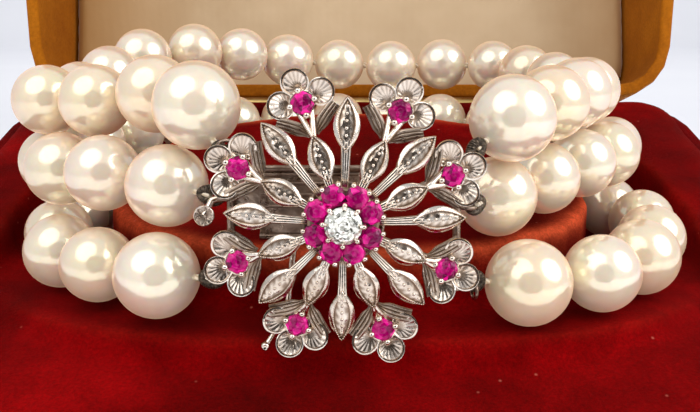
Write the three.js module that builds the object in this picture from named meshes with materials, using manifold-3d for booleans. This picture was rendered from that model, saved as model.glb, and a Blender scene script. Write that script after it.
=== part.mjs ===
// A three-strand pearl bracelet with a ruby and diamond flower clasp, standing in its open velvet box.
// Millimetres, +Z up, +Y towards the hinge. The origin is the middle of the box's underside.
import * as THREE from "three";
import { mergeVertices } from "three/addons/utils/BufferGeometryUtils.js";
import Module from "manifold-3d";

const wasm = await Module();
wasm.setup();

// ---------------------------------------------------------------- driving dimensions

const GAP = 0.3; // clearance between neighbouring pieces
const SUNK = 1; // how far a shape passes into the one that it is joined to or cut from

// The box
const BOX_HALF_WIDTH = 53;
const BOX_FRONT = -42;
const BOX_BACK = 43.5;
const JOIN_BACK = 29.5; // height of the base's rim at the back
const JOIN_SLOPE = THREE.MathUtils.degToRad(15); // the join between base and lid falls towards the front
const BOX_CORNER = 8;
const SHELL_WALL = 2;
const CLOSED_HEIGHT = 49;
const LID_OPEN = THREE.MathUtils.degToRad(105); // from closed to the pose shown
const CORNER_STEPS = 4;
const OVAL_STEPS = 28;

// The velvet pad
const PAD_CROWN = 2.5; // how far the padded ring stands over the shell's rim
const PAD_EDGE = 2.4; // rounding of its outer edge
const LEDGE_HEIGHT = 16.5; // the level that the lowest strand stands on
const WELL = { y: 4.5, halfWidth: 41, front: 31, back: 33, squareness: 2.6 };
const ISLAND = { y: 2, halfWidth: 27.5, front: 21.5, back: 21, squareness: 2.2 };
const ISLAND_TOP = { front: 22.6, knee: 24, kneeY: -2, back: 31 };

// The padded panel in the lid
const PANEL = { thickness: 3, edge: 1.4, corner: 6 };

// The hinge at the back, whose pin turns behind the box's wall
const HINGE = { radius: 1.3, pin: 0.6, halfLength: 24, knuckle: 10, leaf: 0.6, leafHeight: 6, play: 0.2 };

// The strands: the way each thread takes, from the clasp's left end round the back to its right end
const PEARLS_PER_STRAND = 21;
const PEARL = 7.5;
const PEARL_VARIATION = 0.15;
const PEARL_TURN = 2.4; // how fast the variation comes round, radians a pearl
const BACK_FROM = 12; // behind this the loop is drawn out to the strand's real length
const STRANDS = [
  {
    name: "top",
    endPearl: 8.1,
    route: [
      { x: -13.9, y: -20.0, z: 36.6 },
      { x: -18.9, y: -13.7, z: 37.0 },
      { x: -25.8, y: -10.2, z: 36.0 },
      { x: -32.3, y: -5.9, z: 35.6 },
      { x: -31.2, y: 1.8, z: 35.4 },
      { x: -27.4, y: 15.4, z: 38.8 },
      { x: -20.5, y: 19.8, z: 39.4 },
      { x: -7.3, y: 27.2, z: 37.4 },
      { x: 5.5, y: 27.5, z: 36.7 },
      { x: 19.3, y: 27.6, z: 37.0 },
      { x: 28.2, y: 8.5, z: 35.6 },
      { x: 24.0, y: -6.3, z: 36.4 },
      { x: 14.9, y: -19.2, z: 35.3 },
    ],
  },
  {
    name: "middle",
    endPearl: 7.8,
    route: [
      { x: -17.1, y: -19.2, z: 29.0 },
      { x: -23.8, y: -15.6, z: 29.5 },
      { x: -30.2, y: -9.7, z: 28.9 },
      { x: -34.6, y: 4.0, z: 28.2 },
      { x: -29.5, y: 18.5, z: 28.7 },
      { x: -16.0, y: 29.0, z: 28.9 },
      { x: 0.0, y: 32.0, z: 28.9 },
      { x: 16.0, y: 29.4, z: 28.9 },
      { x: 28.6, y: 20.0, z: 28.5 },
      { x: 32.6, y: 7.6, z: 28.4 },
      { x: 25.6, y: -5.0, z: 28.7 },
      { x: 14.2, y: -16.6, z: 27.4 },
    ],
  },
  {
    name: "bottom",
    endPearl: 8.0,
    route: [
      { x: -17.7, y: -22.6, z: 21.3 },
      { x: -29.1, y: -13.7, z: 20.8 },
      { x: -33.0, y: 1.0, z: 20.7 },
      { x: -28.0, y: 15.5, z: 20.7 },
      { x: -14.5, y: 27.4, z: 20.7 },
      { x: 0.0, y: 30.6, z: 20.7 },
      { x: 14.5, y: 27.4, z: 20.7 },
      { x: 28.0, y: 15.5, z: 20.7 },
      { x: 34.2, y: 1.0, z: 20.8 },
      { x: 30.2, y: -13.4, z: 20.8 },
      { x: 24.0, y: -20.2, z: 20.8 },
      { x: 16.2, y: -23.2, z: 20.8 },
    ],
  },
];
const SINGLE_PEARLS_EACH_SIDE = 6; // pearls that are nodes of their own, counted from each end
const PEARLS_PER_STRETCH = 3; // the rest are joined along their thread
const THREAD_RADIUS = 0.45;

// The clasp, in its own frame: x right, y up, z towards the viewer. Its middle is among the outer flowers.
const CLASP_CENTRE = [-0.4, -27.2, 27.8];
const CLASP_LEAN = THREE.MathUtils.degToRad(7);
const FLORET_ANGLES = [23.5, 64, 109, 152.5, 200.5, 245, 289.5, 336.5]; // round the middle, degrees
const FLORET_RING = 10.1;
const FLORET_RUBY = 1.0; // radius
const FLORET_PETAL = { radius: 1.16, distance: 1.82, turns: [-78, 2, 78] };
const LEAF_TURNS = [0, 45, 90, 135, 180, 225, 270, 315];
const LONG_LEAF = { from: 5.4, to: 10.7, width: 1.95, zFrom: 1.5, zTo: 0.3 };
const SHORT_LEAF = { from: 3.5, to: 7.8, width: 1.95, zFrom: 2.0, zTo: 1.1 };
const LEAF_THICKNESS = 0.55;
const STEM = { radius: 0.33, from: 2.6, z: 1.2 }; // the leaves' stems start on the middle's mount
const INNER_RUBY = { radius: 0.92, ring: 2.55, z: 2.2 };
const DIAMOND = { radius: 1.42, z: 3.0 };
const CENTRE_MOUNT = [
  { radius: 1.3, z: -3.2 },
  { radius: 1.8, z: 0.6 },
  { radius: 3.2, z: 1.3 },
  { radius: 3.2, z: 1.7 },
  { radius: 1.2, z: 2.3 },
  { radius: 1.0, z: 2.4 },
];
const CLAW = { radius: 0.22, foot: 1.5, footZ: 1.6, tipZ: 3.35 };
const GALLERY = { radius: 8.6, z: -2.9, wire: 0.4 };
const CATCH = { left: -7.4, right: 1.4, bottom: -1.7, top: 4.3, back: -5.4, front: -2.9, wall: 0.5 };
const SIDE_BAR = { x: 10.0, z: -3.4, radius: 0.4, overrun: 0.6, stays: [4.2, -4.2] };
const STRAND_RING = { radius: 0.62, wire: 0.17, reach: 0.9 };
const RING_HEIGHTS = { left: [5.0, 1.4, -5.8], right: [5.2, 0.6, -6.0] };
const THUMB_DISC = { x: -12.3, y: -1.0, z: -2.4, radius: 0.92, thickness: 0.5 };
const SAFETY_PIN = {
  radius: 0.3,
  ball: 0.6,
  way: [
    { x: -3.8, y: -7.7, z: -2.9 },
    { x: -5.4, y: -9.9, z: -1.4 },
    { x: -7.2, y: -12.3, z: -0.6 },
  ],
};
const GIMP = { radius: 0.2, halfWidth: 0.75, steps: 8 }; // the coiled wire that guards each thread's end

// ---------------------------------------------------------------- solids and meshes

const V = (x, y, z) => new THREE.Vector3(x, y, z);
const polar = (radius, angle, z) => V(radius * Math.cos(angle), radius * Math.sin(angle), z);
const degrees = THREE.MathUtils.degToRad;

// A closed geometry as a manifold-3d solid, with its shared corners merged and empty faces dropped.
function toSolid(geometry, matrix) {
  const bare = new THREE.BufferGeometry();
  bare.setAttribute("position", geometry.getAttribute("position").clone());
  if (geometry.index) bare.setIndex(geometry.index);
  if (matrix) bare.applyMatrix4(matrix);
  const merged = mergeVertices(bare, 1e-4);
  const index = merged.index.array;
  const faces = [];
  for (let i = 0; i < index.length; i += 3) {
    const [a, b, c] = [index[i], index[i + 1], index[i + 2]];
    if (a !== b && b !== c && c !== a) faces.push(a, b, c);
  }
  const vertProperties = new Float32Array(merged.attributes.position.array);
  return new wasm.Manifold(new wasm.Mesh({ numProp: 3, vertProperties, triVerts: new Uint32Array(faces) }));
}

function toGeometry(solid) {
  const mesh = solid.getMesh();
  const positions = new Float32Array(mesh.numVert * 3);
  for (let i = 0; i < mesh.numVert; i++) {
    positions.set(mesh.vertProperties.subarray(i * mesh.numProp, i * mesh.numProp + 3), i * 3);
  }
  const geometry = new THREE.BufferGeometry();
  geometry.setAttribute("position", new THREE.BufferAttribute(positions, 3));
  geometry.setIndex(new THREE.BufferAttribute(mesh.triVerts, 1));
  geometry.computeVertexNormals();
  return geometry;
}

// One solid from several that touch, with any pocket trapped between them filled.
function join(solids) {
  const joined = solids.reduce((all, next) => all.add(next));
  return wasm.Manifold.compose(joined.decompose().filter((shell) => shell.volume() > 0));
}

// A skin over rings of points that all have the same count, closed by a flat fan at each end.
function loft(rings) {
  const count = rings[0].length;
  const positions = rings.flat().flatMap((p) => [p.x, p.y, p.z]);
  const faces = [];
  for (let r = 0; r < rings.length - 1; r++) {
    for (let i = 0; i < count; i++) {
      const a = r * count + i;
      const b = r * count + ((i + 1) % count);
      faces.push(a, b, b + count, a, b + count, a + count);
    }
  }
  const last = (rings.length - 1) * count;
  for (let i = 1; i < count - 1; i++) {
    faces.push(0, i + 1, i);
    faces.push(last, last + i, last + i + 1);
  }
  const geometry = new THREE.BufferGeometry();
  geometry.setAttribute("position", new THREE.Float32BufferAttribute(positions, 3));
  geometry.setIndex(faces);
  return geometry;
}

// A round bar between two points, as a solid.
function bar(from, to, radius, sides = 3) {
  const along = to.clone().sub(from);
  const geometry = new THREE.CylinderGeometry(radius, radius, along.length(), sides, 1);
  const turn = new THREE.Quaternion().setFromUnitVectors(V(0, 1, 0), along.clone().normalize());
  const middle = from.clone().add(to).multiplyScalar(0.5);
  return toSolid(geometry, new THREE.Matrix4().compose(middle, turn, new THREE.Vector3(1, 1, 1)));
}

function block(low, high) {
  const size = high.clone().sub(low);
  const middle = low.clone().add(high).multiplyScalar(0.5);
  const geometry = new THREE.BoxGeometry(size.x, size.y, size.z);
  return toSolid(geometry, new THREE.Matrix4().makeTranslation(middle.x, middle.y, middle.z));
}

// ---------------------------------------------------------------- materials

const finish = (color, roughness, metalness = 0) =>
  new THREE.MeshStandardMaterial({ color, roughness, metalness });
const MATERIALS = {
  pearl: () => finish(0xf3e9d8, 0.22),
  whiteGold: () => finish(0xcfc8c0, 0.22, 1),
  gimp: () => finish(0x3a322e, 0.5, 0.6),
  velvet: () => finish(0x8a0a0c, 0.95),
  suede: () => finish(0xa8701e, 0.85),
  satin: () => finish(0xd8c4a0, 0.45),
  brass: () => finish(0xb08a3c, 0.35, 1),
};

function piece(name, solid, material) {
  const mesh = new THREE.Mesh(toGeometry(solid), material());
  mesh.name = name;
  return mesh;
}

// ---------------------------------------------------------------- the box

// The join between base and lid: its height over a place in the box.
const joinHeight = (y) => JOIN_BACK - (BOX_BACK - y) * Math.tan(JOIN_SLOPE);

// A rectangle with round corners in plan, drawn in from the box's outline by `inset`.
function boxOutline(inset, corner = BOX_CORNER - inset) {
  const right = BOX_HALF_WIDTH - inset;
  const front = BOX_FRONT + inset;
  const back = BOX_BACK - inset;
  const points = [];
  const corners = [
    [right - corner, back - corner, 0],
    [corner - right, back - corner, 1],
    [corner - right, front + corner, 2],
    [right - corner, front + corner, 3],
  ];
  for (const [x, y, quarter] of corners) {
    for (let i = 0; i <= CORNER_STEPS; i++) {
      const angle = (quarter + i / CORNER_STEPS) * (Math.PI / 2);
      points.push(new THREE.Vector2(x + corner * Math.cos(angle), y + corner * Math.sin(angle)));
    }
  }
  return points;
}

// An oval whose four quarters share one squareness: 2 is an ellipse, and more is squarer.
function ovalOutline({ y, halfWidth, front, back, squareness }) {
  return Array.from({ length: OVAL_STEPS }, (_, i) => {
    const angle = (i / OVAL_STEPS) * 2 * Math.PI;
    const [c, s] = [Math.cos(angle), Math.sin(angle)];
    const reach = s < 0 ? front : back;
    const x = Math.sign(c) * Math.abs(c) ** (2 / squareness) * halfWidth;
    return new THREE.Vector2(x, y + Math.sign(s) * Math.abs(s) ** (2 / squareness) * reach);
  });
}

const ring = (outline, height) => outline.map((p) => V(p.x, p.y, height(p)));
const flat = (z) => () => z;
const alongJoin = (rise) => (p) => joinHeight(p.y) + rise;

function baseShell() {
  const outer = boxOutline(0);
  const inner = boxOutline(SHELL_WALL);
  const body = toSolid(loft([ring(outer, flat(0)), ring(outer, alongJoin(0))]));
  const hollow = toSolid(loft([ring(inner, flat(SHELL_WALL)), ring(inner, alongJoin(SUNK))]));
  return body.subtract(hollow);
}

function velvetPad() {
  const seat = SHELL_WALL + GAP;
  const edge = boxOutline(seat);
  const shoulder = boxOutline(seat + PAD_EDGE * 0.3);
  const top = boxOutline(seat + PAD_EDGE);
  const ringPad = toSolid(
    loft([
      ring(edge, flat(seat)),
      ring(edge, alongJoin(PAD_CROWN - PAD_EDGE)),
      ring(shoulder, alongJoin(PAD_CROWN - PAD_EDGE * 0.3)),
      ring(top, alongJoin(PAD_CROWN)),
    ]),
  );
  const well = ovalOutline(WELL);
  const cleared = toSolid(loft([ring(well, flat(LEDGE_HEIGHT)), ring(well, flat(CLOSED_HEIGHT))]));
  const podium = toSolid(loft([ring(well, flat(seat + SUNK)), ring(well, flat(LEDGE_HEIGHT))]));
  return ringPad.subtract(cleared).add(podium).add(island());
}

// The raised cushion inside the strands: nearly level in front, and rising with the box's slope behind.
function island() {
  const { front, knee, kneeY, back } = ISLAND_TOP;
  const [frontY, backY] = [ISLAND.y - ISLAND.front, ISLAND.y + ISLAND.back];
  const outline = ovalOutline(ISLAND);
  const column = toSolid(loft([ring(outline, flat(LEDGE_HEIGHT - SUNK)), ring(outline, flat(back))]));
  const profile = new THREE.Shape([
    new THREE.Vector2(frontY - SUNK, 0),
    new THREE.Vector2(backY, 0),
    new THREE.Vector2(backY, back),
    new THREE.Vector2(kneeY, knee),
    new THREE.Vector2(frontY - SUNK, front),
  ]);
  const wedge = new THREE.ExtrudeGeometry(profile, { depth: 2 * BOX_HALF_WIDTH, bevelEnabled: false });
  const upright = new THREE.Matrix4().makeBasis(V(0, 1, 0), V(0, 0, 1), V(1, 0, 0));
  return column.intersect(toSolid(wedge, upright.setPosition(-BOX_HALF_WIDTH, 0, 0)));
}

// The lid is modelled closed, over the base, and is then turned open about its hinge.
function lidShell() {
  const outer = boxOutline(0);
  const inner = boxOutline(SHELL_WALL);
  const ceiling = CLOSED_HEIGHT - SHELL_WALL;
  const body = toSolid(loft([ring(outer, alongJoin(GAP)), ring(outer, flat(CLOSED_HEIGHT))]));
  const hollow = toSolid(loft([ring(inner, alongJoin(-SUNK)), ring(inner, flat(ceiling))]));
  return body.subtract(hollow);
}

function lidPanel() {
  const { thickness, edge, corner } = PANEL;
  const inset = SHELL_WALL + GAP;
  const ceiling = CLOSED_HEIGHT - SHELL_WALL - GAP;
  const rim = boxOutline(inset, corner);
  const face = boxOutline(inset + edge, corner - edge);
  const underside = ceiling - thickness;
  const rings = [ring(face, flat(underside)), ring(rim, flat(underside + edge)), ring(rim, flat(ceiling))];
  return toSolid(loft(rings));
}

const hingeAxis = () => V(0, BOX_BACK + HINGE.radius + HINGE.play, JOIN_BACK);

// Half of the hinge: a leaf on the box's back and the knuckles that it carries round the pin.
function hingeHalf(knuckles, upward) {
  const { radius, halfLength, leaf, leafHeight } = HINGE;
  const axis = hingeAxis();
  const wall = BOX_BACK + GAP;
  const away = upward ? 1 : -1;
  const parts = knuckles.map(([from, to]) => {
    const barrel = bar(V(from, axis.y, axis.z), V(to, axis.y, axis.z), radius, 8);
    const neckHeights = [axis.z, axis.z + away * (radius + 0.5)].sort((a, b) => a - b);
    const neck = block(V(from, wall, neckHeights[0]), V(to, wall + leaf, neckHeights[1]));
    return barrel.add(neck);
  });
  const heights = [axis.z + away * (radius + 0.3), axis.z + away * leafHeight].sort((a, b) => a - b);
  const plate = block(V(-halfLength, wall, heights[0]), V(halfLength, wall + leaf, heights[1]));
  return join([plate, ...parts]);
}

function baseHinge() {
  const { pin, halfLength, knuckle } = HINGE;
  const axis = hingeAxis();
  const half = hingeHalf([[-halfLength, -knuckle], [knuckle, halfLength]], false);
  return half.add(bar(V(-halfLength, axis.y, axis.z), V(halfLength, axis.y, axis.z), pin, 8));
}

function lidHinge() {
  const { pin, knuckle, play } = HINGE;
  const axis = hingeAxis();
  const reach = knuckle - play;
  const bore = bar(V(-knuckle, axis.y, axis.z), V(knuckle, axis.y, axis.z), pin + play, 8);
  return hingeHalf([[-reach, reach]], true).subtract(bore);
}

function box() {
  const group = new THREE.Group();
  group.add(piece("box_base", baseShell(), MATERIALS.velvet));
  group.add(piece("velvet_pad", velvetPad(), MATERIALS.velvet));
  group.add(piece("hinge_base_leaf", baseHinge(), MATERIALS.brass));

  const axis = hingeAxis();
  const lid = new THREE.Group();
  lid.position.copy(axis);
  lid.rotation.x = -LID_OPEN;
  for (const mesh of [
    piece("lid_shell", lidShell(), MATERIALS.suede),
    piece("lid_panel", lidPanel(), MATERIALS.satin),
    piece("hinge_lid_leaf", lidHinge(), MATERIALS.brass),
  ]) {
    mesh.position.copy(axis).negate();
    lid.add(mesh);
  }
  group.add(lid);
  return group;
}

// ---------------------------------------------------------------- the strands

function pearlSize(strand, i) {
  if (i === 0 || i === PEARLS_PER_STRAND - 1) return strand.endPearl;
  return PEARL + PEARL_VARIATION * Math.sin(PEARL_TURN * i + strand.route[0].z);
}

// Sets down a pearl at each pitch along the thread's way, with the way's back drawn out by `stretch`.
function walkPearls(strand, stretch) {
  const drawnOut = ({ x, y, z }) => V(x, y > BACK_FROM ? BACK_FROM + (y - BACK_FROM) * stretch : y, z);
  const route = new THREE.CatmullRomCurve3(strand.route.map(drawnOut), false, "centripetal");
  const steps = 3000;
  const way = route.getPoints(steps);
  const pearls = [{ at: way[0], size: pearlSize(strand, 0) }];
  let step = 0;
  for (let i = 1; i < PEARLS_PER_STRAND; i++) {
    const size = pearlSize(strand, i);
    const before = pearls[i - 1];
    const pitch = (size + before.size) / 2 + GAP;
    while (step < steps && way[step].distanceTo(before.at) < pitch) step++;
    pearls.push({ at: way[step], size });
  }
  return { pearls, ranOut: step === steps };
}

// Draws the back of the loop out until the last pearl just comes to the clasp.
function strandPearls(strand) {
  let [low, high] = [0.5, 2];
  for (let i = 0; i < 16; i++) {
    const stretch = (low + high) / 2;
    if (walkPearls(strand, stretch).ranOut) low = stretch;
    else high = stretch;
  }
  return walkPearls(strand, high).pearls;
}

const PEARLS = STRANDS.map(strandPearls);

function strands() {
  const group = new THREE.Group();
  const firstJoined = SINGLE_PEARLS_EACH_SIDE;
  const lastJoined = PEARLS_PER_STRAND - SINGLE_PEARLS_EACH_SIDE - 1;
  const ball = ({ at, size }) =>
    toSolid(new THREE.SphereGeometry(size / 2, 8, 4), new THREE.Matrix4().makeTranslation(...at));
  STRANDS.forEach(({ name }, row) => {
    const pearls = PEARLS[row];
    pearls.forEach((pearl, i) => {
      if (i >= firstJoined && i <= lastJoined) return;
      const mesh = new THREE.Mesh(new THREE.IcosahedronGeometry(pearl.size / 2, 1), MATERIALS.pearl());
      mesh.name = `pearl_${name}_${String(i + 1).padStart(2, "0")}`;
      mesh.position.copy(pearl.at);
      group.add(mesh);
    });
    for (let first = firstJoined; first <= lastJoined; first += PEARLS_PER_STRETCH) {
      const stretch = pearls.slice(first, first + PEARLS_PER_STRETCH);
      const threads = stretch.slice(1).map(({ at }, i) => bar(stretch[i].at, at, THREAD_RADIUS));
      const number = 1 + (first - firstJoined) / PEARLS_PER_STRETCH;
      const solid = join([...stretch.map(ball), ...threads]);
      group.add(piece(`pearls_${name}_back_${number}`, solid, MATERIALS.pearl));
    }
  });
  return group;
}

// ---------------------------------------------------------------- the clasp

const claspFrame = new THREE.Matrix4().makeRotationX(Math.PI / 2 - CLASP_LEAN).setPosition(...CLASP_CENTRE);
const intoClasp = claspFrame.clone().invert();

// A many-sided body with a flat top and underside, given as rings of a radius and a height going up.
function roundBody(profile, sides, at, turn = 0) {
  const rings = profile.map(({ radius, z }) =>
    Array.from({ length: sides }, (_, i) => polar(radius, turn + (i / sides) * 2 * Math.PI, z).add(at)),
  );
  return toSolid(loft(rings));
}

// A pointed leaf along an arm of the flower, bevelled up to its middle.
function leaf({ from, to, width, zFrom, zTo }, angle) {
  const stations = [0, 0.28, 0.72, 1];
  const edge = [
    ...stations.map((t) => ({ t, side: -1 })),
    ...stations.slice(1, -1).reverse().map((t) => ({ t, side: 1 })),
  ];
  const layers = [
    { scale: 0.7, rise: -LEAF_THICKNESS },
    { scale: 1, rise: -0.1 },
    { scale: 0.6, rise: 0.1 },
  ];
  const rings = layers.map(({ scale, rise }) =>
    edge.map(({ t, side }) => {
      const along = THREE.MathUtils.lerp(from, to, 0.5 + (t - 0.5) * scale);
      const across = side * (width / 2) * Math.sin(Math.PI * t) ** 0.6 * scale;
      return V(along, across, THREE.MathUtils.lerp(zFrom, zTo, t) + rise);
    }),
  );
  return toSolid(loft(rings), new THREE.Matrix4().makeRotationZ(angle));
}

// A stone with its collar: the girdle is at its own zero height, and the table stands over it.
const cutStone = (radius) => [
  { radius: 0.85 * radius, z: -0.9 },
  { radius, z: 0 },
  { radius: 0.6 * radius, z: 0.4 },
];

function floret(angle) {
  const middle = polar(FLORET_RING, angle, 0.2);
  const { radius, distance, turns } = FLORET_PETAL;
  const cup = [
    { radius: 0.7 * radius, z: -0.5 },
    { radius, z: -0.05 },
  ];
  const petals = turns.map((turn) => {
    const at = polar(distance, angle + degrees(turn), -0.1).add(middle);
    return roundBody(cup, 6, at, angle + degrees(turn));
  });
  return join([roundBody(cutStone(FLORET_RUBY), 6, middle, angle), ...petals]);
}

function centreCluster() {
  const halfStep = degrees(22.5);
  const parts = [
    roundBody(CENTRE_MOUNT, 8, V(0, 0, 0), halfStep),
    roundBody(cutStone(DIAMOND.radius), 8, V(0, 0, DIAMOND.z)),
  ];
  for (const turn of LEAF_TURNS) {
    const angle = degrees(turn);
    const { foot, footZ, tipZ, radius } = CLAW;
    const rubyAt = polar(INNER_RUBY.ring, angle + halfStep, INNER_RUBY.z);
    parts.push(roundBody(cutStone(INNER_RUBY.radius), 6, rubyAt, angle + halfStep));
    parts.push(bar(polar(foot, angle, footZ), polar(DIAMOND.radius, angle, tipZ), radius));
  }
  return join(parts);
}

// The wire ring behind the flowers, the struts up to the leaves, and the two bars that carry the catch box.
function gallery() {
  const { radius, z, wire } = GALLERY;
  const hoop = new THREE.TorusGeometry(radius, wire, 4, 14);
  const parts = [toSolid(hoop, new THREE.Matrix4().makeTranslation(0, 0, z))];
  for (const turn of LEAF_TURNS) {
    const angle = degrees(turn);
    const underLeaf = polar(LONG_LEAF.to - 0.7, angle, LONG_LEAF.zTo - 0.2);
    parts.push(bar(polar(radius, angle, z), underLeaf, STEM.radius));
  }
  for (const height of [CATCH.bottom, CATCH.top]) {
    const reach = Math.sqrt(radius ** 2 - height ** 2);
    parts.push(bar(V(-reach, height, z), V(reach, height, z), wire));
  }
  return join(parts);
}

function catchBox() {
  const { left, right, bottom, top, back, front, wall } = CATCH;
  const body = block(V(left, bottom, back), V(right, top, front));
  const slot = block(V(left - SUNK, bottom + wall, back + wall), V(right - wall, top - wall, front - wall));
  return body.subtract(slot);
}

// Where a strand ends at the clasp, in the clasp's frame: its ring's middle, and the way to its pearl.
function strandEnd(side, row) {
  const pearl = side === "left" ? PEARLS[row][0] : PEARLS[row].at(-1);
  const sign = side === "left" ? -1 : 1;
  const eye = V(sign * (SIDE_BAR.x + STRAND_RING.reach), RING_HEIGHTS[side][row], SIDE_BAR.z);
  const way = pearl.at.clone().applyMatrix4(intoClasp).sub(eye);
  const length = way.length() - pearl.size / 2;
  way.normalize();
  const across = V(0, 1, 0).addScaledVector(way, -way.y).normalize();
  return { eye, way, across, length };
}

// The bar down one side of the clasp with a ring for each strand, turned towards that strand.
function sideBar(side) {
  const { z, radius, overrun } = SIDE_BAR;
  const x = side === "left" ? -SIDE_BAR.x : SIDE_BAR.x;
  const heights = RING_HEIGHTS[side];
  const ends = [V(x, heights.at(-1) - overrun, z), V(x, heights[0] + overrun, z)];
  const parts = [bar(...ends, radius, 6)];
  heights.forEach((_, row) => {
    const { eye, way, across } = strandEnd(side, row);
    const place = new THREE.Matrix4().makeBasis(way, across.clone().cross(way), across);
    const torus = new THREE.TorusGeometry(STRAND_RING.radius, STRAND_RING.wire, 4, 7);
    parts.push(toSolid(torus, place.setPosition(eye)));
  });
  return join(parts);
}

// A leaf on the stem that carries it from the middle's mount.
function stemmedLeaf(shape, angle) {
  const onLeaf = polar(shape.from + 0.5, angle, shape.zFrom - LEAF_THICKNESS / 2);
  return leaf(shape, angle).add(bar(polar(STEM.from, angle, STEM.z), onLeaf, STEM.radius));
}

// The bent pin of the safety catch at the lower left, with the ball at its end.
function safetyPin() {
  const { radius, ball, way } = SAFETY_PIN;
  const [foot, bend, end] = way.map(({ x, y, z }) => V(x, y, z));
  const knob = toSolid(new THREE.OctahedronGeometry(ball), new THREE.Matrix4().makeTranslation(...end));
  return join([bar(foot, bend, radius), bar(bend, end, radius), knob]);
}

function flower() {
  const parts = [centreCluster(), gallery(), catchBox(), sideBar("right"), safetyPin()];
  for (const turn of LEAF_TURNS) parts.push(stemmedLeaf(LONG_LEAF, degrees(turn)));
  for (const turn of FLORET_ANGLES) {
    const angle = degrees(turn);
    const tip = polar(SHORT_LEAF.to - 0.5, angle, SHORT_LEAF.zTo - 0.3);
    parts.push(floret(angle), stemmedLeaf(SHORT_LEAF, angle));
    parts.push(bar(tip, polar(FLORET_RING - 0.6, angle, -0.3), STEM.radius));
  }
  for (const height of SIDE_BAR.stays) {
    const inner = V(Math.sqrt(GALLERY.radius ** 2 - height ** 2), height, GALLERY.z);
    parts.push(bar(inner, V(SIDE_BAR.x, height, SIDE_BAR.z), STEM.radius));
  }
  return join(parts);
}

// The tongue that slides into the catch box, with the left-hand rings and the disc that the thumb presses.
function tongue() {
  const { right, bottom, top, back, front, wall } = CATCH;
  const inset = wall + GAP;
  const low = V(-SIDE_BAR.x, bottom + inset, back + inset);
  const blade = block(low, V(right - inset, top - inset, front - inset));
  const { x, y, z, radius, thickness } = THUMB_DISC;
  const faces = [-thickness / 2, thickness / 2].map((height) => ({ radius, z: height }));
  const disc = roundBody(faces, 10, V(x, y, z));
  const lever = bar(V(-SIDE_BAR.x, y + radius / 2, SIDE_BAR.z), V(x, y, z), STEM.radius);
  return join([blade, sideBar("left"), disc, lever]);
}

// A loop of coiled wire from a ring of the clasp to the end pearl that it holds.
function gimpLoop(side, row) {
  const { eye, way, across, length } = strandEnd(side, row);
  const { radius, halfWidth, steps } = GIMP;
  const half = (length - radius - GAP) / 2;
  const points = Array.from({ length: steps }, (_, i) => {
    const angle = (i / steps) * 2 * Math.PI;
    const out = half * (1 - Math.cos(angle));
    return eye.clone().addScaledVector(way, out).addScaledVector(across, halfWidth * Math.sin(angle));
  });
  return new THREE.TubeGeometry(new THREE.CatmullRomCurve3(points, true), steps, radius, 4, true);
}

function clasp() {
  const group = new THREE.Group();
  group.applyMatrix4(claspFrame);
  group.add(piece("clasp_flower", flower(), MATERIALS.whiteGold));
  group.add(piece("clasp_tongue", tongue(), MATERIALS.whiteGold));
  STRANDS.forEach(({ name }, row) => {
    for (const side of ["left", "right"]) {
      group.add(piece(`gimp_${name}_${side}`, toSolid(gimpLoop(side, row)), MATERIALS.gimp));
    }
  });
  return group;
}

const root = new THREE.Group();
root.add(box(), strands(), clasp());
export default root;
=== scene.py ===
# %% [markdown]
# # A pearl bracelet with a ruby flower clasp, in its velvet box
#
# The bracelet is three strands of cultured pearls that end in one clasp of white gold. It stands round a
# cushion in an open box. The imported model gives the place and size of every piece. This lesson dresses that
# model: it makes the fine shape and the finish of each piece, in its place and at its size.

# %% Load the frame
import math
import random

import bpy
import numpy as np
from mathutils import Matrix, Vector, noise


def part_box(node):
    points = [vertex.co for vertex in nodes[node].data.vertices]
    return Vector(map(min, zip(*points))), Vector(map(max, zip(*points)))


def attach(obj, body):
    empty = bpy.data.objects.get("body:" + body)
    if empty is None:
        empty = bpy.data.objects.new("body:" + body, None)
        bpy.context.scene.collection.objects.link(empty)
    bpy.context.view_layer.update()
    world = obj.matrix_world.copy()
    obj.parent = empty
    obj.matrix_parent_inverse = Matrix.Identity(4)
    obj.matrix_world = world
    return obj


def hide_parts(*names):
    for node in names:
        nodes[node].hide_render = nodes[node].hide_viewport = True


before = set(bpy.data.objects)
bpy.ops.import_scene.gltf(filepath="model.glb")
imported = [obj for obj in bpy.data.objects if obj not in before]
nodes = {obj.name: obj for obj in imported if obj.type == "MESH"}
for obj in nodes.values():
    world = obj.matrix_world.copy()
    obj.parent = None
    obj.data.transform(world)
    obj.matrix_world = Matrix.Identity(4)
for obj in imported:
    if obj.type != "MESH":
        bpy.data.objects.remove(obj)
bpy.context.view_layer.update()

print("The packed model has", len(nodes), "pieces")

# %% [markdown]
# ## The camera
#
# The camera is where the eye of someone looking into the box would be: a hand's width in front of the
# clasp, a little above it, and tipped down. It comes first, so that every later step can be looked at.

# %% Place the camera
MM = 0.001
CAMERA_PLACE = Vector((0, -97, 45)) * MM
CAMERA_TIP = math.radians(13)
CAMERA_LENS = 43.7

bpy.ops.object.camera_add(location=CAMERA_PLACE, rotation=(math.pi / 2 - CAMERA_TIP, 0, 0))
camera = bpy.context.object
camera.data.lens = CAMERA_LENS
camera.data.clip_start = 5 * MM
bpy.context.scene.camera = camera
print("The camera looks along +Y, tipped down by", round(math.degrees(CAMERA_TIP)), "degrees")

# %% [markdown]
# ## Helpers for modelling
#
# Every piece starts as one of Blender's primitives and is shaped by operators, as by hand. An operator
# works on what is selected, so these helpers select one thing alone, extrude a face step by step, and copy
# a finished shape. A copy gets a mesh of its own.

# %% Select, step and copy
def take(*pieces):
    """Selects these pieces alone, with the first one active."""
    bpy.ops.object.select_all(action="DESELECT")
    for piece in pieces:
        piece.select_set(True)
    bpy.context.view_layer.objects.active = pieces[0]


def leave():
    bpy.ops.object.mode_set(mode="OBJECT")


def named(piece, name):
    piece.name = name
    piece.data.name = name
    return piece


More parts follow.
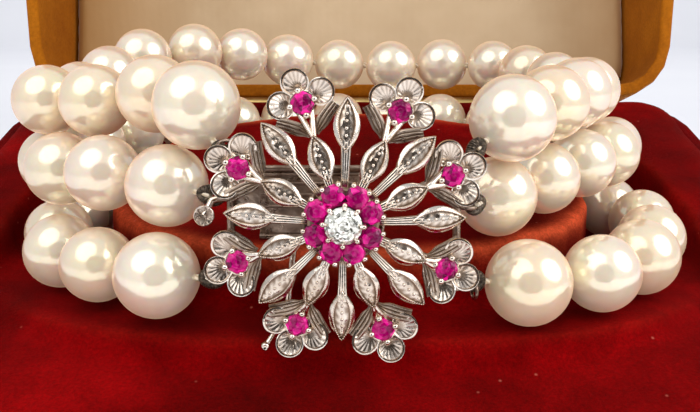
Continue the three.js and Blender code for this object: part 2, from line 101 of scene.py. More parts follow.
def added(name):
    """Names the primitive that was just added, and applies its place so that its object is at the origin."""
    piece = named(bpy.context.object, name)
    take(piece)
    bpy.ops.object.transform_apply()
    return piece


def pick_faces(piece, wanted=lambda middle, normal: True):
    """Goes into edit mode with the faces selected whose middle and normal are wanted."""
    take(piece)
    bpy.ops.object.mode_set(mode="EDIT")
    bpy.ops.mesh.select_mode(type="FACE")
    bpy.ops.mesh.select_all(action="DESELECT")
    leave()
    for face in piece.data.polygons:
        face.select = wanted(face.center, face.normal)
    bpy.ops.object.mode_set(mode="EDIT")


def step(rise, along=1.0, across=1.0, turn=0.0, about=(0, 0, 0)):
    """Extrudes the selected face upwards, then grows it along X and Y and turns it, about a point."""
    bpy.ops.mesh.extrude_region_move(TRANSFORM_OT_translate={"value": (0, 0, rise)})
    bpy.ops.transform.resize(value=(along, across, 1), center_override=about)
    if turn:
        bpy.ops.transform.rotate(value=turn, orient_axis="Z", center_override=about)


def close_up(piece):
    """Leaves edit mode with the piece's faces all pointing outwards."""
    bpy.ops.mesh.select_all(action="SELECT")
    bpy.ops.mesh.normals_make_consistent(inside=False)
    leave()
    return piece


def modified(piece, kind, **settings):
    """Adds a modifier with these settings and applies it."""
    take(piece)
    modifier = piece.modifiers.new(kind.title(), kind)
    for name, value in settings.items():
        setattr(modifier, name, value)
    bpy.ops.object.modifier_apply(modifier=modifier.name)


def smooth(piece, angle=35):
    """Shades the piece smooth, apart from edges that are sharper than the angle."""
    take(piece)
    bpy.ops.object.shade_smooth_by_angle(angle=math.radians(angle))
    return piece


def softened(piece, width, segments=2, angle=35):
    """Rounds the piece's sharp edges, because an edge with no radius catches no light."""
    limit = math.radians(angle)
    modified(piece, "BEVEL", width=width, segments=segments, limit_method="ANGLE", angle_limit=limit)
    return smooth(piece, angle)


def copied(piece, place=Matrix.Identity(4), name="copy"):
    """A copy with its own mesh, placed by a matrix."""
    twin = piece.copy()
    twin.data = piece.data.copy()
    twin.name = name
    twin.data.transform(place)
    bpy.context.collection.objects.link(twin)
    return twin


def joined(name, pieces):
    """One piece from several."""
    take(*pieces)
    if len(pieces) > 1:
        bpy.ops.object.join()
    return named(pieces[0], name)


def drop(*pieces):
    """Deletes the masters that copies were made from."""
    for piece in pieces:
        bpy.data.objects.remove(piece)


def finished(piece, body, finish, slot, *replaced):
    """Gives a piece its finish, the body that it rides on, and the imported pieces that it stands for."""
    piece.data.materials.clear()
    piece.data.materials.append(finish)
    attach(piece, body)
    if replaced:
        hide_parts(*replaced)
    return piece


# %% [markdown]
# ## Helpers for finishes
#
# A finish is a small graph of nodes that ends in a Principled shader. Patterns are read from Object
# coordinates, in metres, so they have their real scale.

# %% Build a finish from nodes
class Finish:
    """A material under construction."""

    def __init__(self, name, **sockets):
        self.material = bpy.data.materials.new(name)
        self.material.use_nodes = True
        self.tree = self.material.node_tree
        self.wear(**sockets)
        self.place = self.add("ShaderNodeTexCoord").outputs["Object"]

    def fill(self, node, sockets):
        """Links or sets a node's inputs, by name or by number. None leaves one as it is."""
        for key, value in sockets.items():
            socket = node.inputs[key.replace("_", " ") if isinstance(key, str) else key]
            if isinstance(value, bpy.types.NodeSocket):
                self.tree.links.new(value, socket)
            elif value is not None:
                socket.default_value = (*value, 1) if socket.type == "RGBA" else value
        return node

    def add(self, kind, settings={}, **sockets):
        node = self.tree.nodes.new(kind)
        for name, value in settings.items():
            setattr(node, name, value)
        return self.fill(node, sockets)

    def attribute(self, name):
        return self.add("ShaderNodeAttribute", {"attribute_name": name}).outputs["Fac"]

    def grain(self, scale, detail=3.0, roughness=0.5):
        """Cloudy noise from 0 to 1, whose lumps are about 1 / scale metres."""
        shape = {"Scale": scale, "Detail": detail, "Roughness": roughness}
        return self.add("ShaderNodeTexNoise", Vector=self.place, **shape).outputs["Fac"]

    def cells(self, scale, feature="F1", output="Distance"):
        """Cells of about 1 / scale metres: the distance from each cell's middle, or its random colour."""
        node = self.add("ShaderNodeTexVoronoi", {"feature": feature}, Vector=self.place, Scale=scale)
        return node.outputs[output]

    def bands(self, direction, scale):
        node = self.add("ShaderNodeTexWave", {"bands_direction": direction}, Vector=self.place, Scale=scale)
        return node.outputs["Fac"]

    def ramp(self, value, *stops):
        """Colours or greys at places from 0 to 1 along a value."""
        node = self.add("ShaderNodeValToRGB", Fac=value)
        stretch = node.color_ramp
        while len(stretch.elements) < len(stops):
            stretch.elements.new(0.5)
        for element, (place, colour) in zip(stretch.elements, stops):
            element.position = place
            element.color = (*colour, 1) if isinstance(colour, tuple) else (colour, colour, colour, 1)
        return node.outputs["Color"]

    def clouds(self, low, high, scale, detail=3.0, roughness=0.5):
        """Noise that drifts between two colours or greys."""
        return self.ramp(self.grain(scale, detail, roughness), (0.3, low), (0.7, high))

    def mix(self, share, first, second, blend="MIX"):
        node = self.add("ShaderNodeMix", {"data_type": "RGBA", "blend_type": blend})
        return self.fill(node, {0: share, 6: first, 7: second}).outputs[2]

    def times(self, first, second, plus=0.0):
        node = self.add("ShaderNodeMath", {"operation": "MULTIPLY_ADD"})
        return self.fill(node, {0: first, 1: second, 2: plus}).outputs[0]

    def relief(self, height, depth, strength=1.0, under=None):
        """Bump of this depth in metres, over the relief that is already there."""
        node = self.add("ShaderNodeBump", Height=height, Distance=depth, Strength=strength, Normal=under)
        return node.outputs["Normal"]

    def wear(self, **sockets):
        """Sets or links the shader's sockets and hands over the material."""
        self.fill(self.tree.nodes["Principled BSDF"], sockets)
        return self.material


# %% [markdown]
# ## The finish of pearls
#
# Nacre is many clear layers over a cream bead. Light goes in a little way, so a pearl has no hard shadow
# edge, and it comes back from two depths: a broad sheen from inside, and a sharp gleam from the skin. Each
# pearl's mesh carries its own tone of cream, with a slow cloud of rose, peach and pale green over it. Fine
# pits and growth lines are bump.

# %% Nacre
pearly = Finish(
    "Nacre",
    Metallic=0.4,
    Roughness=0.17,
    IOR=1.66,
    Coat_Weight=0.8,
    Coat_Roughness=0.07,
    Coat_Tint=(1.0, 0.93, 0.82),
    Sheen_Weight=0.8,
    Sheen_Roughness=0.45,
    Sheen_Tint=(1.0, 0.68, 0.44),
    Subsurface_Weight=0.45,
    Subsurface_Scale=2.0 * MM,
    Subsurface_Radius=(1.0, 0.5, 0.25),
    Thin_Film_Thickness=420,
    Thin_Film_IOR=1.36,
)
cream = pearly.ramp(
    pearly.attribute("tone"),
    (0.0, (0.85, 0.71, 0.53)),
    (0.3, (0.85, 0.77, 0.66)),
    (0.6, (0.86, 0.80, 0.72)),
    (0.8, (0.86, 0.75, 0.68)),
    (1.0, (0.84, 0.78, 0.65)),
)
lustre = pearly.ramp(
    pearly.grain(170, 2.0),
    (0.3, (1.0, 0.80, 0.72)),
    (0.5, (1.0, 0.97, 0.90)),
    (0.7, (0.90, 0.94, 0.76)),
)
colour = pearly.mix(1.0, pearly.mix(0.35, cream, lustre), pearly.clouds(0.93, 1.0, 620, 4.0), "MULTIPLY")
pits = pearly.ramp(pearly.cells(900), (0.0, 0.0), (0.12, 1.0))
skin = pearly.relief(pearly.grain(500), 0.03 * MM)
skin = pearly.relief(pits, 0.012 * MM, 0.5, skin)
nacre = pearly.wear(Base_Color=colour, Normal=skin, Coat_Normal=skin)
print("Made the finish", nacre.name)

# %% [markdown]
# ## The pearls
#
# A pearl is nearly a ball, drilled along the thread. One is made from a sphere whose two poles are pushed
# in. It is copied to every place on the strands, turned so that its hole lies along the thread, and made a
# little uneven by slow noise with a seed of its own.

# %% Drill one pearl
PEARL_HOLE = 0.07  # radius of the drilled hole, as a share of the pearl's radius

bpy.ops.mesh.primitive_uv_sphere_add(segments=48, ring_count=28, radius=1)
drilled = added("drilled_pearl")
for pole in (1, -1):
    pick_faces(drilled, lambda middle, normal: middle.z * pole > math.sqrt(1 - PEARL_HOLE**2))
    step(-0.2 * pole, 0.9, 0.9)
    leave()
smooth(drilled, 50)
print("The drilled pearl has", len(drilled.data.polygons), "faces")

# %% Find where each pearl is
PEARL_LEAST = 6 * MM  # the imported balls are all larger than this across
ROWS = ("top", "middle", "bottom")
SIDES = ("left", "right")


def single_pearl(name):
    """Middle and size of a packed pearl that is a piece of its own."""
    low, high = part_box(name)
    return (low + high) / 2, high.x - low.x


def strung_pearls(name):
    """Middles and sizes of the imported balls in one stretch: a ball has one point straight over another."""
    points = sorted({tuple(round(c, 6) for c in v.co) for v in nodes[name].data.vertices})
    found = []
    for x, y, z in points:
        for other in points:
            over = other[2] - z
            if PEARL_LEAST < over and abs(other[0] - x) < 0.01 * MM and abs(other[1] - y) < 0.01 * MM:
                found.append((Vector((x, y, z + over / 2)), over))
    return found


def strand(row):
    """The strand's pearls in order from its left end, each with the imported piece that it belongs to."""
    singles = sorted(n for n in nodes if n.startswith(f"pearl_{row}_"))
    stretches = sorted(n for n in nodes if n.startswith(f"pearls_{row}_back_"))
    half = len(singles) // 2
    pearls = []
    for name in singles[:half] + stretches + singles[half:]:
        left = strung_pearls(name) if name in stretches else [single_pearl(name)]
        while left:
            if pearls:
                left.sort(key=lambda pearl: (pearl[0] - pearls[-1][1]).length)
            pearls.append((name, *left.pop(0)))
    return pearls


def loop_of(name):
    """Middle of a packed loop, with its long and short half axes as vectors."""
    points = np.array([tuple(v.co) for v in nodes[name].data.vertices])
    middle = points.mean(axis=0)
    _, _, ways = np.linalg.svd(points - middle)
    reach = np.abs((points - middle) @ ways.T).max(axis=0)
    return Vector(middle), Vector(ways[0] * reach[0]), Vector(ways[1] * reach[1])


strands = {row: strand(row) for row in ROWS}
strand_ends = {row: [loop_of(f"gimp_{row}_{side}")[0] for side in SIDES] for row in ROWS}
for row in ROWS:
    print("The", row, "strand has", len(strands[row]), "pearls")

# %% String the pearls
UNEVEN = 0.012  # how far a pearl's skin wanders from a true ball, as a share of its radius


def laid(along):
    """Lays the vertical along a direction."""
    return along.to_track_quat("Z", "Y").to_matrix().to_4x4()


def stored(piece, name, values):
    """Stores a value for each point of a piece, for its finish to read."""
    piece.data.attributes.new(name, "FLOAT", "POINT").data.foreach_set("value", values)


def grown(row, i):
    """The i-th pearl of a strand, with its hole along the thread and a shape and tone of its own."""
    pearls = strands[row]
    middle, size = pearls[i][1:]
    before = pearls[i - 1][1] if i > 0 else strand_ends[row][0]
    after = pearls[i + 1][1] if i < len(pearls) - 1 else strand_ends[row][1]
    chance = random.Random(f"{row} {i}")
    roll = Matrix.Rotation(chance.uniform(0, 2 * math.pi), 4, "Z")
    pearl = copied(drilled)
    seed = Vector([chance.uniform(-50, 50) for _ in range(3)])
    for point in pearl.data.vertices:
        point.co *= 1 - UNEVEN / 2 + UNEVEN * noise.noise(point.co * 0.9 + seed)
    turn = laid((after - before).normalized())
    pearl.data.transform(Matrix.Translation(middle) @ turn @ roll @ Matrix.Scale(size / 2, 4))
    stored(pearl, "tone", [chance.random()] * len(pearl.data.vertices))
    return pearl


for row in ROWS:
    made = {}
    for i, (name, _, _) in enumerate(strands[row]):
        made.setdefault(name, []).append(grown(row, i))
    for name, pearls in made.items():
        finished(joined(f"{name}_nacre", pearls), "base", nacre, "pearl", name)
drop(drilled)
print("Strung", sum(len(strands[row]) for row in ROWS), "pearls")

# %% [markdown]
# ## The silk
#
# Each strand is threaded on silk with a knot after every pearl, so that they don't rub. Between two pearls
# only the knot shows. A small ball is pinched into a knot, copied to each gap, and joined with the run of
# thread.

# %% Twisted silk
spun = Finish("Silk", Roughness=0.7, Sheen_Weight=0.5, Sheen_Roughness=0.4)
twist = spun.bands("DIAGONAL", 900.0)
shade = spun.ramp(twist, (0.0, (0.50, 0.38, 0.24)), (1.0, (0.86, 0.76, 0.60)))
silk = spun.wear(Base_Color=shade, Normal=spun.relief(twist, 0.05 * MM))

# %% Thread and knot the strands
THREAD = 0.28 * MM
KNOT = 0.52 * MM
KNOT_OUT = 0.15 * MM  # how far a knot's middle is from the pearl

bpy.ops.mesh.primitive_ico_sphere_add(subdivisions=2, radius=1)
knot = added("knot")
pick_faces(knot, lambda middle, normal: abs(middle.z) < 0.3)
bpy.ops.transform.resize(value=(0.82, 0.82, 1), center_override=(0, 0, 0))
leave()
smooth(knot, 80)


def wire(name, points, radius, tip=None, sides=4, closed=False):
    """A round wire through the points, thinning evenly to the tip's radius."""
    curve = bpy.data.curves.new(name, "CURVE")
    curve.dimensions = "3D"
    curve.bevel_depth = 1
    curve.bevel_resolution = sides
    curve.use_fill_caps = True
    spline = curve.splines.new("POLY")
    spline.points.add(len(points) - 1)
    spline.use_cyclic_u = closed
    for i, (point, place) in enumerate(zip(spline.points, points)):
        point.co = (*place, 1)
        point.radius = radius + ((tip or radius) - radius) * i / (len(points) - 1)
    piece = bpy.data.objects.new(name, curve)
    bpy.context.collection.objects.link(piece)
    take(piece)
    bpy.ops.object.convert(target="MESH")
    return smooth(bpy.context.object, 50)


for row in ROWS:
    pearls = strands[row]
    left_end, right_end = strand_ends[row]
    parts = [wire("run", [left_end, *[middle for _, middle, _ in pearls], right_end], THREAD, sides=2)]
    for (_, first, size), (_, second, _) in zip(pearls, pearls[1:]):
        along = (second - first).normalized()
        gap = first + along * (size / 2 + KNOT_OUT)
        parts.append(copied(knot, Matrix.Translation(gap) @ laid(along) @ Matrix.Scale(KNOT, 4)))
    finished(joined(f"silk_{row}", parts), "base", silk, "silk")
drop(knot)
print("Knotted", len(ROWS) * (len(pearls) - 1), "gaps")

# %% [markdown]
# ## The gimp
#
# At each end of a strand the silk runs through a loop of fine coiled wire, called gimp, so that it doesn't
# wear through on the clasp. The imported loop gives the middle, the plane and the reach of each one. A fine
# wire, dark with age, is wound round that loop.

# %% Darkened wire
aged = Finish("Darkened wire", Metallic=0.8, Roughness=0.35)
darkened = aged.wear(Base_Color=aged.clouds((0.015, 0.012, 0.010), (0.19, 0.145, 0.105), 2500))

# %% Wind the gimp
COIL = 0.36 * MM
COIL_WIRE = 0.1 * MM
COIL_TURNS = 31
STEPS_A_TURN = 10


def wound(name):
    """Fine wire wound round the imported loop's own line."""
    middle, long_axis, short_axis = loop_of(name)
    side = long_axis.cross(short_axis).normalized()
    core = [axis * (1 - COIL / axis.length) for axis in (long_axis, short_axis)]
    count = COIL_TURNS * STEPS_A_TURN
    points = []
    for i in range(count):
        round_loop = 2 * math.pi * i / count
        round_core = 2 * math.pi * i / STEPS_A_TURN
        out = (long_axis * math.cos(round_loop) + short_axis * math.sin(round_loop)).normalized()
        centre = middle + core[0] * math.cos(round_loop) + core[1] * math.sin(round_loop)
        points.append(centre + (out * math.cos(round_core) + side * math.sin(round_core)) * COIL)
    return wire(f"{name}_coil", points, COIL_WIRE, sides=1, closed=True)


for row in ROWS:
    for side in SIDES:
        finished(wound(f"gimp_{row}_{side}"), "base", darkened, "gimp_wire", f"gimp_{row}_{side}")
print("Wound 6 loops of", COIL_TURNS, "turns")

# %% [markdown]
# ## The finish of white gold
#
# Polished white gold is a mirror with a faint warmth. What makes it look like metal is what it mirrors, so
# the finish only adds what a jeweller's bench leaves: rims are polished, and hollows are painted a dark
# brown-grey, partly the grime of casting and age and partly painted shade where less light reaches. Each
# part's rings of points carry how dark they are. Two duller finishes are for what sits behind the flower and
# was never polished; their colour is painted darker still, as painted shade.

# %% White gold, polished and as cast
# Dark brown-grey that hollows are painted with: partly grime, partly painted shade.
SOOT_AND_SHADE = (0.26, 0.165, 0.105)


def gold(name, bright, dull, roughness, texture):
    finish = Finish(name, Metallic=1.0)
    sunk = finish.attribute("hollow")
    colour = finish.mix(sunk, finish.clouds(dull, bright, 700), SOOT_AND_SHADE)
    gloss = finish.clouds(roughness * 0.6, roughness * 1.5, 1300, 4.0)
    skin = finish.relief(finish.grain(2600, 4.0), texture)
    skin = finish.relief(finish.cells(2100, "SMOOTH_F1"), texture * 1.5, 0.6, skin)
    return finish.wear(Base_Color=colour, Roughness=finish.times(sunk, 0.22, gloss), Normal=skin)


white_gold = gold("White gold", (0.97, 0.87, 0.76), (0.72, 0.59, 0.47), 0.15, 0.02 * MM)
# The duller golds are painted darker as shade; the bracts' one is also browner, as a painted reflection of
# the red velvet.
bract_gold_in_shade = gold("Brown-grey gold", (0.70, 0.58, 0.48), (0.46, 0.36, 0.27), 0.26, 0.03 * MM)
cast_gold_in_shade = gold("Cast white gold", (0.48, 0.37, 0.29), (0.22, 0.15, 0.11), 0.32, 0.05 * MM)


def darken_rings(piece, sides, *shares):
    """Stores how dark each ring of points is, from the first one extruded to the last."""
    rings = [min(i // sides, len(shares) - 1) for i in range(len(piece.data.vertices))]
    stored(piece, "hollow", [shares[i] for i in rings])


# %% [markdown]
# ## The clasp lying on the bench
#
# The flower is modelled as it would lie on a jeweller's bench: in millimetres, face up, with its middle at
# the origin. One matrix then stands every part up and leans it back against the cushion.

# %% From the bench to the box
CLASP_MIDDLE = Vector((-0.55, -27.2, 27.55)) * MM
CLASP_LEAN = math.radians(7)
STAND_UP = Matrix.Translation(CLASP_MIDDLE) @ Matrix.Rotation(math.pi / 2 - CLASP_LEAN, 4, "X")
TO_METRES = Matrix.Scale(MM, 4)


def stood_up(name, parts, finish, slot="white_gold", *replaced):
    """Joins parts made on the bench and stands them up in the box."""
    piece = joined(name, parts)
    piece.data.transform(STAND_UP @ TO_METRES)
    return finished(piece, "base", finish, slot, *replaced)


def on_bench(middle, turn=0.0, tilt=0.0, scale=1.0):
    """Places a part at a point of the bench, tilted up at its far end and then turned about the vertical."""
    spin = Matrix.Rotation(turn, 4, "Z") @ Matrix.Rotation(-tilt, 4, "Y")
    return Matrix.Translation(middle) @ spin @ Matrix.Scale(scale, 4)


def polar(radius, angle, height=0.0):
    return Vector((radius * math.cos(angle), radius * math.sin(angle), height))


def disc(name, sides, radius, height=0.0):
    bpy.ops.mesh.primitive_circle_add(
        vertices=sides, radius=radius, fill_type="NGON", location=(0, 0, height)
    )
    return added(name)


def climbed(piece, steps):
    """Extrudes a disc upwards through steps, each with the measures that step() takes."""
    pick_faces(piece)
    for measures in steps:
        step(*measures)
    return close_up(piece)


def turned(name, sides, *profile):
    """A round part as from a lathe, given as radius and height from its underside up."""
    rises = [
        (high - low, outer / inner, outer / inner)
        for (inner, low), (outer, high) in zip(profile, profile[1:])
    ]
    return climbed(disc(name, sides, *profile[0]), rises)


# %% [markdown]
# ## The leaves
#
# Sixteen leaves ring the middle, eight long and eight short. Each is a shallow boat with a polished bevel,
# a raised rim and a sunk floor. A circle is pinched to two points, and then extruded over the bevel to the
# rim, down into the hollow, and up to a low vein. Every second point beside the vein is raised, which cuts
# ribs as a graver would. Beads run along the vein, and much finer ones, called millgrain, along the rim.
# The leaves stand a few degrees off an even ring, because the clasp was made by hand.

# %% Shape a leaf
LEAF_SIDES = 36
LEAF_STEPS = (  # how far up, then how the face grows along and across
    (0.30, 1.10, 1.45),
    (0.20, 0.93, 0.71),
    (0.02, 0.98, 0.91),
    (-0.22, 0.97, 0.88),
    (0.04, 0.93, 0.56),
    (0.07, 0.92, 0.35),
)
# How dark each ring is painted, from the underside up: the underside, the sunk floor and the ground beside
# the vein are painted dark, partly as grime and partly as painted shade.
LEAF_SHADES = (0.5, 0.15, 0.0, 0.0, 0.95, 0.7, 0.1)
LEAF_TOP = 0.50  # the rim over the underside
RIB_RING = 5  # the ring of points beside the vein
LEAF_RIB = 0.12
RIM_SHARE = (0.92, 0.67)  # the rim's place along and across, as shares of the outline
GRAIN_GAP = 0.2
GRAIN = 0.075
VEIN_BEADS = 6
VEIN_BEAD = 0.14
VEIN_REACH = 0.32  # how far the beads go to each side of the middle, as a share of the leaf's length
GRAIN_Z, VEIN_Z = 0.02, -0.06  # how high the middles of the beads are


def beads(radius, rounds, spots):
    """A small bead, a little flattened, at each spot."""
    bpy.ops.mesh.primitive_ico_sphere_add(subdivisions=rounds, radius=radius)
    master = added("bead")
    master.data.transform(Matrix.Diagonal((1, 1, 0.8, 1)))
    smooth(master, 80)
    row = [copied(master, Matrix.Translation(spot)) for spot in spots]
    drop(master)
    return row


def outline(length, width, share):
    """A point on a leaf's outline, from its near tip at 0 to its far tip at 1."""
    return length * (share - 0.5), width / 2 * math.sin(math.pi * share) ** 0.85


def leaf(length, width):
    piece = disc("leaf", LEAF_SIDES, 0.5)
    _, grow_along, grow_across = LEAF_STEPS[0]
    for point in piece.data.vertices:
        share = min(max(point.co.x + 0.5, 0), 1)
        along, across = outline(length / grow_along, width / grow_across, share)
        point.co = (along, math.copysign(across, point.co.y), -LEAF_TOP)
    climbed(piece, LEAF_STEPS)
    darken_rings(piece, LEAF_SIDES, *LEAF_SHADES)
    dark = piece.data.attributes["hollow"].data
    # Raised rib points are painted bright, so the points between them stay dark as painted shade in the
    # grooves.
    for i, point in enumerate(piece.data.vertices):
        if i // LEAF_SIDES == RIB_RING and i % 2:
            point.co.z += LEAF_RIB
            dark[i].value = 0.0
    softened(piece, 0.025, 2, 30)
    count = round(length / GRAIN_GAP)
    rim = [outline(length * RIM_SHARE[0], width * RIM_SHARE[1], i / count) for i in range(1, count)]
    millgrain = [(along, across * side, GRAIN_Z) for side in (1, -1) for along, across in rim]
    vein = [(length * VEIN_REACH * (2 * i / (VEIN_BEADS - 1) - 1), 0, VEIN_Z) for i in range(VEIN_BEADS)]
    return joined("leaf", [piece, *beads(GRAIN, 1, millgrain), *beads(VEIN_BEAD, 2, vein)])


def ring(*places):
    """Places round the clasp: each one's turn, given in degrees, and how far out it reaches."""
    return [(math.radians(turn), reach) for turn, reach in places]


LONG_LEAF = {"length": 4.9, "width": 2.25, "start_z": 1.55, "end_z": 0.42}
SHORT_LEAF = {"length": 4.3, "width": 2.15, "start_z": 2.12, "end_z": 1.22}
LONG_LEAVES = ring(
    (2, 10.5), (43, 10.7), (88, 10.65), (129.5, 10.95), (176, 10.3), (224, 10.25), (269, 10.45), (314, 10.1)
)
FLORETS = ring(
    (23, 10.0), (63, 10.4), (109, 10.5), (153, 9.95), (201, 9.65), (246, 9.7), (290, 9.9), (335, 9.6)
)
SHORT_REACH = 7.85
LEAVES = ((LONG_LEAF, LONG_LEAVES), (SHORT_LEAF, [(turn, SHORT_REACH) for turn, _ in FLORETS]))


def leaf_place(measures, turn, reach):
    """Where a leaf's middle goes on the bench, with its tip sloping down."""
    near = polar(reach - measures["length"], turn, measures["start_z"])
    far = polar(reach, turn, measures["end_z"])
    slope = math.atan2(far.z - near.z, measures["length"])
    return on_bench((near + far) / 2, turn, slope)


parts = []
for measures, places in LEAVES:
    master = leaf(measures["length"], measures["width"])
    parts += [copied(master, leaf_place(measures, *where)) for where in places]
    drop(master)
leaves = stood_up("clasp_leaves", parts, white_gold, "white_gold", "clasp_flower")
print("The leaves have", len(leaves.data.polygons), "faces")

# %% [markdown]
# ## Stems and ties
#
# Each leaf hangs on a stem of three wires, which part a little on their way out from the middle. From the
# tip of each short leaf two ties go on to the little flower beyond it, one to each side of its ruby.

# %% Draw the stems
STEM_WIRE = (0.17, 0.2)  # a wire's radius at its start and at its tip
TIE_WIRE = (0.2, 0.26)
STEM_APART = 0.14
STEM_START = 2.7
STEM_HEIGHT = 1.15
FLORET_HEIGHT = 0.2


def drawn(name, gauge, turn, way, side):
    """A wire at a turn, through places given as how far out, how high and how far to the side they are."""
    aside = Vector((-math.sin(turn), math.cos(turn), 0)) * side
    points = [polar(out, turn, height) + aside * wide for out, height, wide in way]
    return wire(name, points, *gauge, sides=3)


parts = []
for measures, places in LEAVES:
    for turn, reach in places:
        start = reach - measures["length"]
        way = (
            (STEM_START, STEM_HEIGHT, 1.0),
            ((STEM_START + start) / 2, measures["start_z"] - 0.25, 1.2),
            (start + 1.1, measures["start_z"] - 0.4, 1.8),
        )
        parts += [drawn("stem", STEM_WIRE, turn, way, side) for side in (-STEM_APART, 0, STEM_APART)]
for turn, reach in FLORETS:
    tip = (SHORT_REACH - 0.5, SHORT_LEAF["end_z"] - 0.25, 0)
    way = (tip, (SHORT_REACH + 0.4, 0.7, 0.2), (reach - 0.5, -0.25, 0.6))
    parts += [drawn("tie", TIE_WIRE, turn, way, side) for side in (-1, 1)]
stood_up("clasp_stems", parts, white_gold)
print("Drew", len(parts), "wires")

# %% [markdown]
# ## The little flowers
#
# Eight flowers ring the clasp, each of three cupped petals round a ruby. A petal is a disc with a thin rim
# and a dished floor. The floor's rings shrink towards a point near the ruby, and every second point of them
# is lifted, so that lines fan out as on a shell. The floor is painted darker, partly as grime and partly as
# painted shade, darkest between the lifted lines, with a painted shadow of the ruby on the side near it. The
# ruby stands in a collar with four claws, whose ends are little balls over its edge.

# %% Shape a petal, a collar and a claw
PETAL_SIDES = 28
PETAL_STEPS = (  # how far up, how the face grows, and the place on its axis that it grows about
    (0.26, 1.45, 0.0),
    (0.28, 1.0, 0.0),
    (0.03, 0.86, 0.0),
    (-0.18, 0.93, 0.0),
    (0.0, 0.76, -0.65),
    (-0.05, 0.68, -0.65),
    (-0.04, 0.50, -0.65),
)
# How dark each ring is painted, from the underside up: the dished floor partly as grime, partly as painted
# shade.
PETAL_SHADES = (0.5, 0.1, 0.0, 0.0, 0.55, 0.45, 0.45, 0.5)
FLOOR_RINGS = (4, 5, 6)
PETAL_SCORE = 0.09
PETAL_SHADOW = 0.4
PETAL_TOP = 0.54
PETAL_RADIUS = 1.2
PETAL_DISTANCE = 1.8
PETAL_TURNS = [math.radians(a) for a in (-76, 2, 78)]
PETAL_CUP = math.radians(13)


def petal():
    piece = disc("petal", PETAL_SIDES, PETAL_RADIUS / PETAL_STEPS[0][1], -PETAL_TOP)
    climbed(piece, [(rise, grow, grow, 0, (about, 0, 0)) for rise, grow, about in PETAL_STEPS])
    darken_rings(piece, PETAL_SIDES, *PETAL_SHADES)
    dark = piece.data.attributes["hollow"].data
    for i, point in enumerate(piece.data.vertices):
        ring_number = i // PETAL_SIDES
        # Lifted points are painted bright, so the points between stay dark as painted shade; below, the floor
        # gets a painted shadow on the ruby's side.
        if ring_number in FLOOR_RINGS and i % 2:
            point.co.z += PETAL_SCORE * (FLOOR_RINGS[-1] + 1 - ring_number) / len(FLOOR_RINGS)
            dark[i].value = 0.0
        if ring_number >= FLOOR_RINGS[0]:
            dark[i].value += PETAL_SHADOW * max(0, -point.co.x) / PETAL_RADIUS
    return softened(piece, 0.02, 2, 30)


RUBY_RADIUS = 1.05
BALL = 0.29
COLLAR = ((0.45, -1.5), (0.62, -1.1), (0.98, -0.35), (1.08, -0.12), (1.06, 0.0), (0.7, -0.02))
BALL_OUT, BALL_UP = 0.02, 0.36  # where a claw's ball is, past the ruby's edge and over its girdle

petal_master = petal()
collar_master = softened(turned("collar", 16, *COLLAR), 0.03, 2, 30)

bpy.ops.mesh.primitive_uv_sphere_add(segments=12, ring_count=8, radius=1)
claw_master = added("claw")
pick_faces(claw_master, lambda middle, normal: middle.z < -0.4)
bpy.ops.transform.translate(value=(0, 0, -3.2))
leave()
smooth(claw_master, 60)

parts = []
claws = []
for floret, reach in FLORETS:
    middle = polar(reach, floret, FLORET_HEIGHT)
    for turn in PETAL_TURNS:
        at = middle + polar(PETAL_DISTANCE, floret + turn, -0.05)
        parts.append(copied(petal_master, on_bench(at, floret + turn, PETAL_CUP)))
    claws.append(copied(collar_master, on_bench(middle)))
    for quarter in range(4):
        claw_turn = floret + math.radians(90 * quarter)
        at = middle + polar(RUBY_RADIUS + BALL_OUT, claw_turn, BALL_UP)
        claws.append(copied(claw_master, on_bench(at, claw_turn, 0.12, BALL)))
drop(petal_master, collar_master)
stood_up("clasp_petals", parts, white_gold)
stood_up("clasp_collars", claws, white_gold)
print("Shaped", len(parts), "petals")

# %% [markdown]
# ## The bracts
#
# Between each little flower and the long leaves beside it a folded, ribbed plate bridges the gap. It is set
# low, so its colour is painted dark as shade and browner as a painted reflection of the velvet, and darker
# still between its ribs as painted shade. A grid is bent and ribbed, given a thickness, and copied.

# %% Fold and set the bracts
BRACT_LENGTH = 3.0
BRACT_WIDTH = 1.3
BRACT_RIBS = 4
BRACT_RIB = 0.14  # how high each rib stands
BRACT_FOLD = 0.5  # how deeply its sides fold down
BRACT_BOW = 0.35
BRACT_NECK = 0.4  # its near end's share of its width
# The furrows between the ribs are painted darker, as painted shade.
BRACT_SHADE = 0.75  # how dark it is between the ribs
BRACT_SPREAD = math.radians(15.5)
BRACT_LIFT = math.radians(24)

bpy.ops.mesh.primitive_grid_add(x_subdivisions=12, y_subdivisions=24, size=1)
bract = added("bract")
shares = []
for point in bract.data.vertices:
    along, across = point.co.x, point.co.y
    rib = abs(math.sin(BRACT_RIBS * math.pi * (across + 0.5)))
    spread = math.cos(math.pi * max(0, -0.1 - along) * 1.2) ** 2
    narrowing = BRACT_NECK + (1 - BRACT_NECK) * spread - 0.15 * max(0, along)
    bow = BRACT_BOW * (along * along - 0.25)
    height = BRACT_RIB * rib - BRACT_FOLD * across * across
    point.co = (BRACT_LENGTH * along, BRACT_WIDTH * across * narrowing - bow, height)
    shares.append(BRACT_SHADE * (1 - rib))
stored(bract, "hollow", shares)
modified(bract, "SOLIDIFY", thickness=0.16, offset=-1)
smooth(bract, 40)

parts = []
for turn, _ in FLORETS:
    for side in (-1, 1):
        near = polar(SHORT_REACH - 0.1, turn + side * 0.03, 0.3)
        far = polar(10.0, turn + side * BRACT_SPREAD, -0.35)
        way = far - near
        lay = Matrix.Rotation(math.atan2(way.y, way.x), 4, "Z") @ Matrix.Rotation(-BRACT_LIFT * side, 4, "X")
        mirrored = Matrix.Diagonal((1, -side, 1, 1))
        parts.append(copied(bract, Matrix.Translation((near + far) / 2) @ lay @ mirrored))
        if side > 0:
            parts[-1].data.flip_normals()
drop(bract)
stood_up("clasp_bracts", parts, bract_gold_in_shade)
print("Set", len(parts), "bracts")
